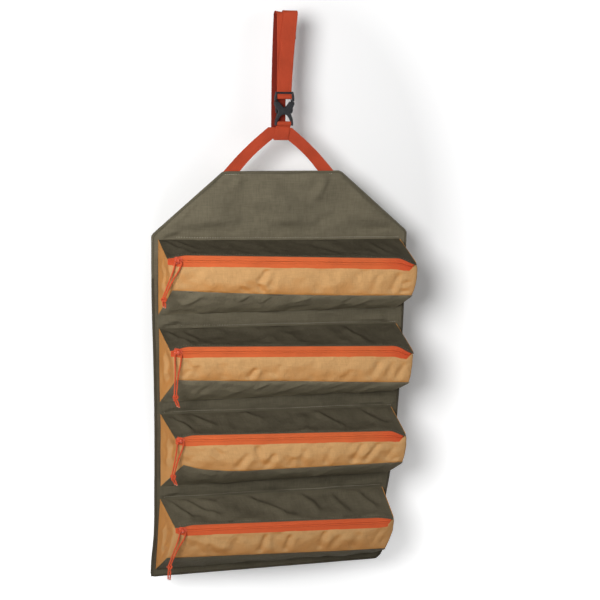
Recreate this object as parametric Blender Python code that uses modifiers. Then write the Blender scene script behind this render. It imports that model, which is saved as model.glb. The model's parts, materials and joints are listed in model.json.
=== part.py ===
"""A hanging roll for camp-kitchen utensils, in metres, +Z up.

The roll hangs on its webbing loop. The origin is at the inside top of the loop, the pouches face -Y,
and +X is to the right of someone who looks at them.
"""

from math import acos, atan2, cos, degrees, hypot, pi, radians, sin

import bmesh
import bpy
from mathutils import Vector

# Clearance between pieces that touch or are sewn together
GAP = 0.0003

# Back panel: a flap with sloping shoulders, then one stretch behind each pouch
PANEL_WIDTH = 0.450
TOP_WIDTH = 0.206
SHOULDER_DROP = 0.107
FLAP_HEIGHT = 0.119
POUCH_PITCH = 0.155
BOTTOM_MARGIN = 0.014
PANEL_THICKNESS = 0.004
FOLD_GAP = 0.0008

# Binding tape over the panel's edges
BINDING_WIDTH = 0.008
BINDING_THICKNESS = 0.0006
BINDING_EDGE = 0.0013
BINDING_SHORT = 0.0015

# Pouches, measured at the outside of their cloth
POUCH_HEIGHT = 0.126
POUCH_MARGIN = 0.011
POUCH_DEPTH = 0.068
LID_DROP = 0.016
ZIP_HEIGHT = 0.020
FRONT_HEIGHT = 0.048
FLOOR_DEPTH = 0.060
SEAM_ALLOWANCE = 0.002
CLOTH = 0.0008
LEFT_INSET = 0.010
RIGHT_OVERHANG = 0.004
ZIP_TILT = 0.016
LID_DIP = 0.004
FRONT_SWELL = 0.004
FLOOR_SWELL = 0.003

# How far each pouch sags, and how far its front ends draw in, from the top pouch down
POUCH_SAG = (0.0, 0.0, 0.0, 0.007)
POUCH_SHRINK = (0.0, 0.0, 0.004, 0.008)

# Zips and their sliders
COIL_WIDTH = 0.0022
COIL_THICKNESS = 0.0022
ZIP_SLIT = 0.0016
SLIDER_INSET = 0.014
SLIDER_LENGTH = 0.011
SLIDER_HEIGHT = 0.009
SLIDER_WING = 0.0012
SLIDER_NECK = 0.0010
CROWN_WIDTH = 0.003
CROWN_WALL = 0.0012
CROWN_ROOM = 0.0007

# Pull cords: a loop through the slider's crown, a knot, and two short tails
CORD_DIAMETER = 0.0026
CORD_ARCH = 0.0055
KNOT_WIDTH = 0.0100
KNOT_DEPTH = 0.0052
KNOT_HEIGHT = 0.0120
LEG_SPREAD = 0.0034
TAIL_SPREAD = 0.0034

# Where each cord's knot and tails hang, across and up from the hole in its slider's crown
KNOT_PLACES = ((-0.024, -0.066), (-0.005, -0.079), (-0.013, -0.064), (-0.023, -0.066))
TAIL_PLACES = ((-0.023, -0.078), (0.000, -0.095), (-0.008, -0.078), (-0.024, -0.088))

# Webbing strap, which hangs in two layers over the loop's top
WEBBING_WIDTH = 0.0250
WEBBING_THICKNESS = 0.0013
STRAP_DROP = 0.264
LOOP_RADIUS = 0.003
STRAP_TAIL = 0.040
REAR_LEG_X = -0.008
REAR_CREST_X = -0.006
INNER_CREST_X = -0.002
OUTER_CREST_X = 0.0085

# Carrying handle of narrower webbing, and the tab that holds it to the buckle
HANDLE_Y = -0.003
HANDLE_WEBBING = 0.020
HANDLE_SPAN = 0.194
HANDLE_RISE = 0.074
HANDLE_CROWN = 0.050
TAB_WIDTH = 0.0245
TAB_PLAY = 0.0004
TAB_LEAN = -0.004

# Side-release buckle: its lower half is an X, its upper half carries two bars and two prongs
BUCKLE_RISE = 0.0774
BUCKLE_DEPTH = 0.0084
FEMALE_HEIGHT = 0.0400
ARM_SPAN = 0.0344
ARM_WIDTH = 0.0079
WAIST_SPAN = 0.0236
WAIST_RISE = 0.0242
LEG_SPAN = 0.0324
WINDOW_TIP = 0.0092
UPPER_WINDOW = 0.0094
LOWER_WINDOW = 0.0182
TAB_BAR_RADIUS = 0.0019
TAB_BAR_RISE = 0.0036
POCKET_FLOOR = 0.0196
POCKET_WALL = 0.0016
MALE_HEIGHT = 0.0164
MALE_STEP = 0.0002
MALE_TAPER = 0.0018
MALE_FRONT = 0.0036
MALE_BACK = 0.0025
RAIL_PLAY = 0.0007
BAR_RADIUS = 0.0017
BAR_PITCH = 0.0073
BAR_COVER = 0.0003
PRONG_COVER = 0.0024
PRONG_WIDTH = 0.0035
PRONG_THICKNESS = 0.0030
PRONG_LENGTH = 0.0217
PRONG_RISE = 0.0018
PRONG_BARB = 0.0006
PRONG_BARB_HEIGHT = 0.0105

# Steps in half a turn of a bent strap
BEND_STEPS = 12

# Places that follow from the sizes
POUCHES = range(len(POUCH_SAG))
TOP_Z = -STRAP_DROP
SEAMS = [TOP_Z - FLAP_HEIGHT - k * POUCH_PITCH for k in POUCHES]
BOTTOM_Z = SEAMS[-1] - POUCH_HEIGHT - BOTTOM_MARGIN
HALF_WIDTH = PANEL_WIDTH / 2
SEWN_EDGE = GAP + CLOTH / 2
PANEL_FRONT = HANDLE_Y - PANEL_THICKNESS / 2
PANEL_BACK = HANDLE_Y + PANEL_THICKNESS / 2
BINDING_FRONT = PANEL_FRONT - GAP - BINDING_THICKNESS
EDGE_RADIUS = (PANEL_BACK - BINDING_FRONT) / 2
TAPE_Y = PANEL_FRONT - POUCH_DEPTH + CLOTH / 2
ZIP_SLOPE = ZIP_TILT / PANEL_WIDTH
HANDLE_TOP = TOP_Z + GAP + HANDLE_RISE
HANDLE_UNDERSIDE = HANDLE_TOP - HANDLE_WEBBING
PLY_PITCH = WEBBING_THICKNESS + GAP
INNER_CREST = LOOP_RADIUS + WEBBING_THICKNESS / 2
OUTER_CREST = INNER_CREST + PLY_PITCH
WRAP_RADIUS = BAR_RADIUS + GAP + WEBBING_THICKNESS / 2
BUCKLE_Y = -INNER_CREST - WRAP_RADIUS
BUCKLE_FOOT = TOP_Z + BUCKLE_RISE
FEMALE_TOP = BUCKLE_FOOT + FEMALE_HEIGHT
PRONG_TOP = FEMALE_TOP + PRONG_RISE
PRONG_INNER = ARM_SPAN / 2 - PRONG_COVER - PRONG_WIDTH
MALE_TOP = FEMALE_TOP + GAP + MALE_HEIGHT
OUTER_BAR = (-OUTER_CREST - WRAP_RADIUS, MALE_TOP - BAR_RADIUS - BAR_COVER)
CENTRE_BAR = (BUCKLE_Y, OUTER_BAR[1] - BAR_PITCH)
TAB_BAR = (BUCKLE_Y, BUCKLE_FOOT + TAB_BAR_RISE)

# Colours, 0 to 255
OLIVE = (103, 97, 80)
DARK_OLIVE = (70, 66, 56)
EDGE_OLIVE = (52, 48, 40)
TAN = (198, 154, 104)
ZIP_ORANGE = (212, 98, 54)
WEBBING_ORANGE = (186, 74, 46)
CORD_ORANGE = (205, 88, 56)
CHARCOAL = (56, 56, 60)


# Blender helpers

def clear_scene():
    for thing in list(bpy.data.objects):
        bpy.data.objects.remove(thing, do_unlink=True)


def new_collection(name):
    collection = bpy.data.collections.new(name)
    bpy.context.scene.collection.children.link(collection)
    return collection


def linear(channel):
    """A display colour's channel, 0 to 255, as the linear value that a material takes."""
    share = channel / 255
    return share / 12.92 if share <= 0.04045 else ((share + 0.055) / 1.055) ** 2.4


def finish(name, colour, roughness, metallic=0.0):
    """A Principled material, made once for each name."""
    material = bpy.data.materials.get(name)
    if material is None:
        material = bpy.data.materials.new(name)
        material.use_nodes = True
        shader = material.node_tree.nodes["Principled BSDF"]
        shader.inputs["Base Color"].default_value = (*[linear(c) for c in colour], 1.0)
        shader.inputs["Roughness"].default_value = roughness
        shader.inputs["Metallic"].default_value = metallic
    return material


def mesh_from(body, name):
    """A new mesh from a bmesh, which is then freed."""
    mesh = bpy.data.meshes.new(name)
    body.to_mesh(mesh)
    body.free()
    return mesh


def add_piece(name, mesh, material):
    """A named sub-part with its own finish, smooth where its faces turn gently."""
    piece = bpy.data.objects.new(name, mesh)
    PART.objects.link(piece)
    mesh.materials.clear()
    mesh.materials.append(material)
    mesh.shade_smooth()
    mesh.set_sharp_from_angle(angle=radians(35))
    return piece


def combine(piece, mesh, operation):
    """Joins or cuts a piece with a hidden operand."""
    operand = bpy.data.objects.new(f"{piece.name}_operand_{len(piece.modifiers)}", mesh)
    CUTTERS.objects.link(operand)
    operand.hide_render = True
    operand.display_type = "WIRE"
    modifier = piece.modifiers.new(operand.name, "BOOLEAN")
    modifier.operation = operation
    modifier.object = operand
    modifier.solver = "EXACT"


def mesh_from_curve(curve, rotation=(0.0, 0.0, 0.0), location=(0.0, 0.0, 0.0)):
    """A closed mesh in world places, made from a curve that is then removed."""
    guide = bpy.data.objects.new("guide", curve)
    bpy.context.scene.collection.objects.link(guide)
    guide.rotation_euler = rotation
    guide.location = location
    bpy.context.view_layer.update()
    evaluated = guide.evaluated_get(bpy.context.evaluated_depsgraph_get())
    mesh = bpy.data.meshes.new_from_object(evaluated)
    mesh.transform(guide.matrix_world)
    bpy.data.objects.remove(guide)
    bpy.data.curves.remove(curve)
    body = bmesh.new()
    body.from_mesh(mesh)
    bmesh.ops.remove_doubles(body, verts=body.verts, dist=0.00001)
    bmesh.ops.recalc_face_normals(body, faces=body.faces)
    body.to_mesh(mesh)
    body.free()
    return mesh


def add_spline(curve, points):
    spline = curve.splines.new("POLY")
    spline.points.add(len(points) - 1)
    for point, spot in zip(spline.points, points):
        point.co = (*spot, 1.0)
    return spline


def plate(points, thickness, rotation, location, rounding=0.0):
    """A flat outline as a 2D curve, extruded to a thickness, its edges rounded if asked."""
    curve = bpy.data.curves.new("outline", "CURVE")
    curve.dimensions = "2D"
    curve.fill_mode = "BOTH"
    curve.extrude = thickness / 2 - rounding
    curve.bevel_depth = rounding
    curve.bevel_resolution = 2
    curve.offset = -rounding
    add_spline(curve, [(across, up, 0.0) for across, up in points]).use_cyclic_u = True
    return mesh_from_curve(curve, rotation, location)


def facing_plate(points, front, back, rounding=0.0):
    """An outline in X and Z, from its front depth to its back depth."""
    return plate(points, back - front, (pi / 2, 0, 0), (0, (front + back) / 2, 0), rounding)


def side_plate(points, left, right):
    """An outline in Y and Z, from left to right."""
    return plate(points, right - left, (pi / 2, 0, pi / 2), ((left + right) / 2, 0, 0))


def upright_bar(points, low, high):
    """An outline in X and Y, from its foot to its head."""
    return plate(points, high - low, (0, 0, 0), (0, 0, (low + high) / 2))


def cross_bar(place, radius, half_length):
    """A round bar along X, at a place in Y and Z."""
    body = bmesh.new()
    bmesh.ops.create_cone(body, cap_ends=True, segments=16, radius1=radius, radius2=radius,
                          depth=2 * half_length)
    for vertex in body.verts:
        vertex.co = Vector((vertex.co.z, place[0] + vertex.co.y, place[1] - vertex.co.x))
    return mesh_from(body, "bar")


def tube(points, diameter):
    """A closed round tube along a line of points."""
    curve = bpy.data.curves.new("tube", "CURVE")
    curve.dimensions = "3D"
    curve.bevel_depth = diameter / 2
    curve.bevel_resolution = 2
    curve.use_fill_caps = True
    add_spline(curve, points)
    return mesh_from_curve(curve)


def thicken(piece, thickness, offset):
    modifier = piece.modifiers.new("cloth", "SOLIDIFY")
    modifier.thickness = thickness
    modifier.offset = offset
    modifier.use_even_offset = True
    return piece


def shell(name, grid, material, open_cells=()):
    """Cloth under a grid of points, whose order turns the faces outwards."""
    body = bmesh.new()
    rows = [[body.verts.new(spot) for spot in row] for row in grid]
    for r in range(len(rows) - 1):
        for c in range(len(rows[r]) - 1):
            if (r, c) not in open_cells:
                body.faces.new((rows[r][c], rows[r + 1][c], rows[r + 1][c + 1], rows[r][c + 1]))
    loose = [vertex for vertex in body.verts if not vertex.link_faces]
    bmesh.ops.delete(body, geom=loose, context="VERTS")
    return thicken(add_piece(name, mesh_from(body, name), material), CLOTH, -1.0)


def ribbon(name, line, width, material, closed=False):
    """Webbing along a line of points, its width along X."""
    body = bmesh.new()
    half = Vector((width / 2, 0, 0))
    pairs = [(body.verts.new(Vector(spot) - half), body.verts.new(Vector(spot) + half)) for spot in line]
    for near, far in zip(pairs, pairs[1:] + (pairs[:1] if closed else [])):
        body.faces.new((near[0], near[1], far[1], far[0]))
    return thicken(add_piece(name, mesh_from(body, name), material), WEBBING_THICKNESS, 0.0)


def bend(centre, radius, start, end, x_start, x_end):
    """Points round a centre in Y and Z, from one angle to another in degrees from +Y."""
    steps = max(2, round(BEND_STEPS * abs(end - start) / 180))
    line = []
    for i in range(steps + 1):
        share = i / steps
        angle = radians(start + share * (end - start))
        x = x_start + share * (x_end - x_start)
        line.append((x, centre[0] + radius * cos(angle), centre[1] + radius * sin(angle)))
    return line


def touch_angle(centre, radius, spot, turn):
    """Where a line from a spot touches a circle, in degrees from +Y; turn, 1 or -1, names the side."""
    across, up = spot[0] - centre[0], spot[1] - centre[1]
    return degrees(atan2(up, across) + turn * acos(radius / hypot(across, up)))


def smooth_route(points, steps):
    """Points along a smooth curve through a route's own points."""
    route = [points[0], *points, points[-1]]
    line = []
    for a, b, c, d in zip(route, route[1:], route[2:], route[3:]):
        for i in range(steps):
            t = i / steps
            square, cube = t ** 2, t ** 3
            blend = 2 * b + (c - a) * t + (2 * a - 5 * b + 4 * c - d) * square + (3 * b - a - 3 * c + d) * cube
            line.append(blend / 2)
    return [*line, points[-1]]


def inset(outline, amounts):
    """A clockwise outline whose sides are each moved inwards by an amount."""
    lines = []
    for i, (x0, z0) in enumerate(outline):
        x1, z1 = outline[(i + 1) % len(outline)]
        length = hypot(x1 - x0, z1 - z0)
        inward = ((z1 - z0) / length, (x0 - x1) / length)
        lines.append((x0 + inward[0] * amounts[i], z0 + inward[1] * amounts[i], x1 - x0, z1 - z0))
    corners = []
    for i, (x, z, dx, dz) in enumerate(lines):
        px, pz, pdx, pdz = lines[i - 1]
        step = ((x - px) * dz - (z - pz) * dx) / (pdx * dz - pdz * dx)
        corners.append((px + pdx * step, pz + pdz * step))
    return corners


def mirrored(outline):
    """The same outline on the other side of the middle."""
    return [(-across, up) for across, up in reversed(outline)]


def rectangle(left, low, right, high):
    return [(left, low), (left, high), (right, high), (right, low)]


def pivot(name, spot, parent=None):
    """An empty on a joint's axis, which carries what moves there."""
    empty = bpy.data.objects.new(name, None)
    PART.objects.link(empty)
    empty.location = spot
    carry(parent, empty)
    return empty


def carry(parent, *pieces):
    """Parents pieces to an empty and leaves them where they are."""
    bpy.context.view_layer.update()
    for piece in pieces:
        if parent is not None:
            piece.parent = parent
            piece.matrix_parent_inverse = parent.matrix_world.inverted()


# Back panel and its binding

def moved_sides(outline, bound, at_binding, at_fold):
    """An outline whose bound sides move inwards by one amount and its other sides by another."""
    return inset(outline, [at_binding if side in bound else at_fold for side in range(len(outline))])


def flap_outline():
    top, shoulder = TOP_WIDTH / 2, TOP_Z - SHOULDER_DROP
    return [(-top, TOP_Z), (top, TOP_Z), (HALF_WIDTH, shoulder), (HALF_WIDTH, SEAMS[0]),
            (-HALF_WIDTH, SEAMS[0]), (-HALF_WIDTH, shoulder)]


def stretch_outline(k):
    foot = SEAMS[k + 1] if k + 1 < len(SEAMS) else BOTTOM_Z
    return [(-HALF_WIDTH, SEAMS[k]), (HALF_WIDTH, SEAMS[k]), (HALF_WIDTH, foot), (-HALF_WIDTH, foot)]


def panel(name, outline, bound, material):
    """One stretch of the back panel, between its bindings and its folds."""
    sides = moved_sides(outline, bound, BINDING_EDGE + GAP, FOLD_GAP / 2)
    return add_piece(name, facing_plate(sides, PANEL_FRONT, PANEL_BACK), material)


def round_binding(name, outline, bound, fold, beyond, material, rounding=0.0):
    """Tape round an outline's bound sides: over the front margin and the edge, flush with the back.

    It stops short of the fold. Beyond the fold, up at 1 or down at -1, nothing stays.
    """
    reach = PANEL_THICKNESS
    tape = facing_plate(moved_sides(outline, bound, 0, -reach), BINDING_FRONT, PANEL_BACK, rounding)
    piece = add_piece(name, tape, material)
    window = moved_sides(outline, bound, BINDING_WIDTH, -2 * reach)
    combine(piece, facing_plate(window, BINDING_FRONT - reach, PANEL_BACK + reach), "DIFFERENCE")
    seat = moved_sides(outline, bound, BINDING_EDGE, -2 * reach)
    combine(piece, facing_plate(seat, PANEL_FRONT - GAP, PANEL_BACK + reach), "DIFFERENCE")
    low, high = sorted((fold - beyond * BINDING_SHORT, fold + beyond * 2 * reach))
    end = rectangle(-HALF_WIDTH - reach, low, HALF_WIDTH + reach, high)
    combine(piece, facing_plate(end, BINDING_FRONT - reach, PANEL_BACK + reach), "DIFFERENCE")
    return piece


def side_binding(name, hand, k, material):
    """Tape beside one stretch, between two folds: hand is -1 at the left edge and 1 at the right."""
    outer, wall, margin = (hand * (HALF_WIDTH - inwards) for inwards in (0, BINDING_EDGE, BINDING_WIDTH))
    seat = PANEL_FRONT - GAP
    profile = [(outer, BINDING_FRONT), (outer, PANEL_BACK), (wall, PANEL_BACK), (wall, seat),
               (margin, seat), (margin, BINDING_FRONT)]
    mesh = upright_bar(profile, SEAMS[k + 1] + BINDING_SHORT, SEAMS[k] - BINDING_SHORT)
    return add_piece(name, mesh, material)


# Pouches

class Pouch:
    """Where the outside of a pouch lies: its depth from the panel and its drop from the seam."""

    def __init__(self, k):
        self.number = k + 1
        self.seam = SEAMS[k]
        self.lid = LID_DROP + POUCH_SAG[k]
        self.zip_foot = self.lid + ZIP_HEIGHT
        self.zip_middle = self.lid + ZIP_HEIGHT / 2
        self.toe = self.zip_foot + FRONT_HEIGHT
        self.half = HALF_WIDTH - POUCH_MARGIN
        self.left_inset = POUCH_SHRINK[k] + LEFT_INSET
        self.right_inset = POUCH_SHRINK[k] - RIGHT_OVERHANG
        layer = CLOTH + GAP
        self.under_lid = layer * hypot(1, (self.lid - SEAM_ALLOWANCE) / POUCH_DEPTH)
        self.over_floor = layer * hypot(1, (POUCH_HEIGHT - self.toe) / FLOOR_DEPTH)

    def left(self, depth):
        return self.left_inset * depth / POUCH_DEPTH - self.half

    def right(self, depth):
        return self.half - self.right_inset * depth / POUCH_DEPTH

    def spot(self, across, depth, drop):
        """A point a share of the way across, lower to the right the further out it lies."""
        x = self.left(depth) + across * (self.right(depth) - self.left(depth))
        return Vector((x, PANEL_FRONT - depth, self.seam - drop - ZIP_SLOPE * x * depth / POUCH_DEPTH))

    def lid_drop(self, depth):
        return SEAM_ALLOWANCE + (self.lid - SEAM_ALLOWANCE) * depth / POUCH_DEPTH

    def floor_drop(self, depth):
        return POUCH_HEIGHT + (self.toe - POUCH_HEIGHT) * depth / FLOOR_DEPTH

    def slider_middle(self):
        """The middle of the slider at the left end of its zip."""
        x = self.left(POUCH_DEPTH) + SLIDER_INSET
        return Vector((x, TAPE_Y, self.seam - self.zip_middle - ZIP_SLOPE * x))

    def crown_hole(self):
        """The middle of the hole in the slider's crown, where the pull cord goes through."""
        reach = COIL_THICKNESS / 2 + GAP + SLIDER_WING + CROWN_ROOM + CORD_DIAMETER / 2
        return self.slider_middle() - Vector((0, reach, 0))


def swell(across, along):
    """The share of a cloth's swell at a place: none at its edges, all of it in its middle."""
    return sin(pi * across) ** 2 * sin(pi * along) ** 2


def spread(pouch, near, far, drop_at, bulge):
    """A grid of points across a pouch, from one depth to another, with a bulge downwards."""
    columns, rows = 8, 4
    grid = []
    for r in range(rows + 1):
        depth = near + (far - near) * r / rows
        drops = [drop_at(depth) + bulge * swell(c / columns, r / rows) for c in range(columns + 1)]
        grid.append([pouch.spot(c / columns, depth, drop) for c, drop in enumerate(drops)])
    return grid


def lid(pouch, material):
    """The top of a pouch, which dips a little between its seams."""
    return shell(f"lid_{pouch.number}", spread(pouch, SEWN_EDGE, POUCH_DEPTH, pouch.lid_drop, LID_DIP), material)


def floor(pouch, material):
    """The underside, from the foot of the front back to the panel."""
    return shell(f"floor_{pouch.number}", spread(pouch, FLOOR_DEPTH, SEWN_EDGE, pouch.floor_drop, FLOOR_SWELL), material)


def front(pouch, material):
    """The front, which turns both corners and runs back to the panel as the pouch's ends."""
    columns, rows = 8, 4
    head = pouch.lid + pouch.under_lid
    top = pouch.zip_foot + GAP / 2
    foot = pouch.toe - pouch.over_floor
    back_head = pouch.lid_drop(GAP) + pouch.under_lid
    back_foot = pouch.floor_drop(GAP) - pouch.over_floor
    levels = [(POUCH_DEPTH, head, 0.0)]
    for r in range(rows + 1):
        along = r / rows
        levels.append((POUCH_DEPTH + along * (FLOOR_DEPTH - POUCH_DEPTH), top + along * (foot - top), along))
    grid = []
    for depth, drop, along in levels:
        back_drop = back_head + (back_foot - back_head) * (drop - head) / (foot - head)
        row = [pouch.spot(0, GAP, back_drop)]
        for c in range(columns + 1):
            bulge = Vector((0, -FRONT_SWELL * swell(c / columns, along), 0))
            row.append(pouch.spot(c / columns, depth, drop) + bulge)
        row.append(pouch.spot(1, GAP, back_drop))
        grid.append(row)
    beside_zip = [(0, c) for c in range(1, columns + 1)]
    return shell(f"front_{pouch.number}", grid, material, beside_zip)


def lean(mesh, about=0.0):
    """Leans a mesh with the zip, about a place in X."""
    for vertex in mesh.vertices:
        vertex.co.z -= ZIP_SLOPE * (vertex.co.x - about)
    return mesh


def zip_half(name, pouch, edge_drop, hand, material):
    """A zip tape and its coil, from the tape's sewn edge: hand is 1 above the slit, -1 below."""
    edge = pouch.seam - edge_drop
    coil_edge = pouch.seam - pouch.zip_middle + hand * ZIP_SLIT / 2
    coil_root = coil_edge + hand * COIL_WIDTH
    tape, coil = CLOTH / 2, COIL_THICKNESS / 2
    profile = [(-tape, edge), (tape, edge), (tape, coil_root), (coil, coil_root),
               (coil, coil_edge), (-coil, coil_edge), (-coil, coil_root), (-tape, coil_root)]
    profile = [(TAPE_Y + y, z) for y, z in profile]
    clear = CLOTH + GAP
    mesh = side_plate(profile, pouch.left(POUCH_DEPTH) + clear, pouch.right(POUCH_DEPTH) - clear)
    return add_piece(name, lean(mesh), material)


def slider(pouch, material):
    """Two wings that hold the coils between them, their neck in the slit, and the cord's crown."""
    middle = pouch.slider_middle()
    inner = COIL_THICKNESS / 2 + GAP
    outer = inner + SLIDER_WING
    half, neck = SLIDER_HEIGHT / 2, SLIDER_NECK / 2
    wings = [(-outer, -half), (-inner, -half), (-inner, -neck), (inner, -neck), (inner, -half), (outer, -half),
             (outer, half), (inner, half), (inner, neck), (-inner, neck), (-inner, half), (-outer, half)]
    wings = [(middle.y + y, middle.z + z) for y, z in wings]
    mesh = side_plate(wings, middle.x - SLIDER_LENGTH / 2, middle.x + SLIDER_LENGTH / 2)
    piece = add_piece(f"slider_{pouch.number}", lean(mesh, middle.x), material)
    room = CORD_DIAMETER / 2 + CROWN_ROOM
    wall = room + CROWN_WALL
    root = middle.y - outer + SLIDER_WING / 2
    hole = pouch.crown_hole()
    arch = [(root, -wall), (hole.y - wall, -wall), (hole.y - wall, wall), (root, wall),
            (root, room), (hole.y - room, room), (hole.y - room, -room), (root, -room)]
    arch = [(y, middle.z + z) for y, z in arch]
    combine(piece, side_plate(arch, middle.x - CROWN_WIDTH / 2, middle.x + CROWN_WIDTH / 2), "UNION")
    return piece


def cord_leg(pouch, hand):
    """Half of a pull cord's loop, from the top of its arch down into the knot."""
    hole = pouch.crown_hole()
    knot_x, knot_z = KNOT_PLACES[pouch.number - 1]
    arch = [hole + Vector((hand * CORD_ARCH * sin(radians(turn)), 0, CORD_ARCH * (cos(radians(turn)) - 1)))
            for turn in (0, 30, 60)]
    aside = hand * LEG_SPREAD / 2
    route = [hole + Vector((hand * CORD_ARCH, 0, -CORD_ARCH)),
             hole + Vector((hand * CORD_ARCH * 0.85 + knot_x * 0.15, 0, knot_z * 0.25)),
             hole + Vector((aside * 1.4 + knot_x * 0.55, 0, knot_z * 0.55)),
             hole + Vector((aside + knot_x, 0, knot_z + KNOT_HEIGHT / 3))]
    return arch + smooth_route(route, 4)


def pull_cord(pouch, material):
    """A knotted cord loop as one solid: the loop, the knot and its two tails."""
    left, right = cord_leg(pouch, -1), cord_leg(pouch, 1)
    piece = add_piece(f"pull_cord_{pouch.number}", tube(left[::-1] + right[1:], CORD_DIAMETER), material)
    hole = pouch.crown_hole()
    (knot_x, knot_z), (tail_x, tail_z) = KNOT_PLACES[pouch.number - 1], TAIL_PLACES[pouch.number - 1]
    knot = hole + Vector((knot_x, 0, knot_z))
    tail = hole + Vector((tail_x, 0, tail_z))
    body = bmesh.new()
    bmesh.ops.create_uvsphere(body, u_segments=12, v_segments=8, radius=0.5)
    for vertex in body.verts:
        vertex.co = knot + vertex.co * Vector((KNOT_WIDTH, KNOT_DEPTH, KNOT_HEIGHT))
    combine(piece, mesh_from(body, "knot"), "UNION")
    for hand in (-1, 1):
        aside = Vector((hand * TAIL_SPREAD / 2, 0, 0))
        combine(piece, tube([knot + aside * 0.8, (knot + tail) / 2 + aside, tail + aside], CORD_DIAMETER), "UNION")
    return piece


# Handle, tab, strap and buckle

def handle(material):
    """Webbing from the flap's top corners up to a short level crown."""
    foot, half, crown = TOP_Z + GAP, HANDLE_SPAN / 2, HANDLE_CROWN / 2
    outer = [(-half, foot), (-crown, HANDLE_TOP), (crown, HANDLE_TOP), (half, foot)]
    inner = inset(outer, [HANDLE_WEBBING, HANDLE_WEBBING, HANDLE_WEBBING, 0])
    thickness = WEBBING_THICKNESS / 2
    mesh = facing_plate(outer + inner[::-1], HANDLE_Y - thickness, HANDLE_Y + thickness)
    return add_piece("handle", mesh, material)


def tab(material):
    """A closed turn of webbing, round the buckle's lower bar and the handle's crown."""
    foot = HANDLE_UNDERSIDE - GAP - WEBBING_THICKNESS / 2
    shoulder = HANDLE_TOP + WEBBING_THICKNESS / 2
    rear, near = HANDLE_Y + PLY_PITCH, HANDLE_Y - PLY_PITCH
    radius = TAB_BAR_RADIUS + GAP + WEBBING_THICKNESS / 2
    start = touch_angle(TAB_BAR, radius, (rear, shoulder), 1)
    end = 360 + touch_angle(TAB_BAR, radius, (near, shoulder), -1)
    line = [(TAB_LEAN, rear, foot), (0, rear, shoulder), *bend(TAB_BAR, radius, start, end, 0, 0),
            (0, near, shoulder), (TAB_LEAN, near, foot)]
    return ribbon("tab", line, TAB_WIDTH, material, closed=True)


def strap_rear(material):
    """The strap's rear leg, from behind the tab up and over the inner crest of the loop."""
    rear = HANDLE_Y + 2 * PLY_PITCH
    line = [(REAR_LEG_X, rear, HANDLE_UNDERSIDE), (REAR_LEG_X, rear, HANDLE_TOP),
            *bend((0, -LOOP_RADIUS), INNER_CREST, 0, 180, REAR_CREST_X, INNER_CREST_X)]
    return ribbon("strap_rear", line, WEBBING_WIDTH, material)


def crossing_angle():
    """Where the strap leaves the outer bar on its way round the centre bar, in degrees from +Y."""
    across, down = CENTRE_BAR[0] - OUTER_BAR[0], CENTRE_BAR[1] - OUTER_BAR[1]
    return degrees(atan2(down, across) + acos(2 * WRAP_RADIUS / hypot(across, down)))


def strap_front(material):
    """The strap's front legs: down to the buckle, round both bars, up over the loop, and its tail."""
    crossing = crossing_angle()
    line = [(INNER_CREST_X, -INNER_CREST, -LOOP_RADIUS - GAP),
            *bend(CENTRE_BAR, WRAP_RADIUS, 360, 180 + crossing, 0, 0),
            *bend(OUTER_BAR, WRAP_RADIUS, crossing, 0, 0, 0),
            *bend((0, -LOOP_RADIUS), OUTER_CREST, 180, 0, OUTER_CREST_X, OUTER_CREST_X),
            (OUTER_CREST_X, OUTER_CREST, -LOOP_RADIUS - STRAP_TAIL)]
    return ribbon("strap_front", line, WEBBING_WIDTH, material)


def buckle_female(material):
    """The lower half: an X-shaped socket, a pocket in each arm, and the tab's bar between its legs."""
    arm, waist, leg, tip = (span / 2 for span in (ARM_SPAN, WAIST_SPAN, LEG_SPAN, WINDOW_TIP))
    window_foot = FEMALE_TOP - UPPER_WINDOW
    tab_side = TAB_WIDTH / 2 + TAB_PLAY
    tab_top = TAB_BAR[1] + TAB_BAR_RADIUS + WEBBING_THICKNESS + 2 * GAP
    right = [(tip, window_foot), (arm - ARM_WIDTH, FEMALE_TOP), (arm, FEMALE_TOP), (waist, BUCKLE_FOOT + WAIST_RISE),
             (leg, BUCKLE_FOOT), (tab_side, BUCKLE_FOOT), (tab_side, tab_top), (tip, BUCKLE_FOOT + LOWER_WINDOW)]
    outline = facing_plate(right + mirrored(right), BUCKLE_Y - BUCKLE_DEPTH / 2, BUCKLE_Y + BUCKLE_DEPTH / 2)
    piece = add_piece("buckle_female", outline, material)
    combine(piece, cross_bar(TAB_BAR, TAB_BAR_RADIUS, (tab_side + leg) / 2), "UNION")
    floor_z, beyond = BUCKLE_FOOT + POCKET_FLOOR, FEMALE_TOP + POCKET_WALL
    side_x = arm - ARM_WIDTH + POCKET_WALL
    pocket = [(tip + POCKET_WALL, floor_z), (tip + POCKET_WALL, window_foot), (side_x, FEMALE_TOP),
              (side_x, beyond), (ARM_SPAN, beyond), (ARM_SPAN, floor_z)]
    depth = PRONG_THICKNESS / 2 + GAP
    for opening in (pocket, mirrored(pocket)):
        combine(piece, facing_plate(opening, BUCKLE_Y - depth, BUCKLE_Y + depth), "DIFFERENCE")
    return piece


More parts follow.
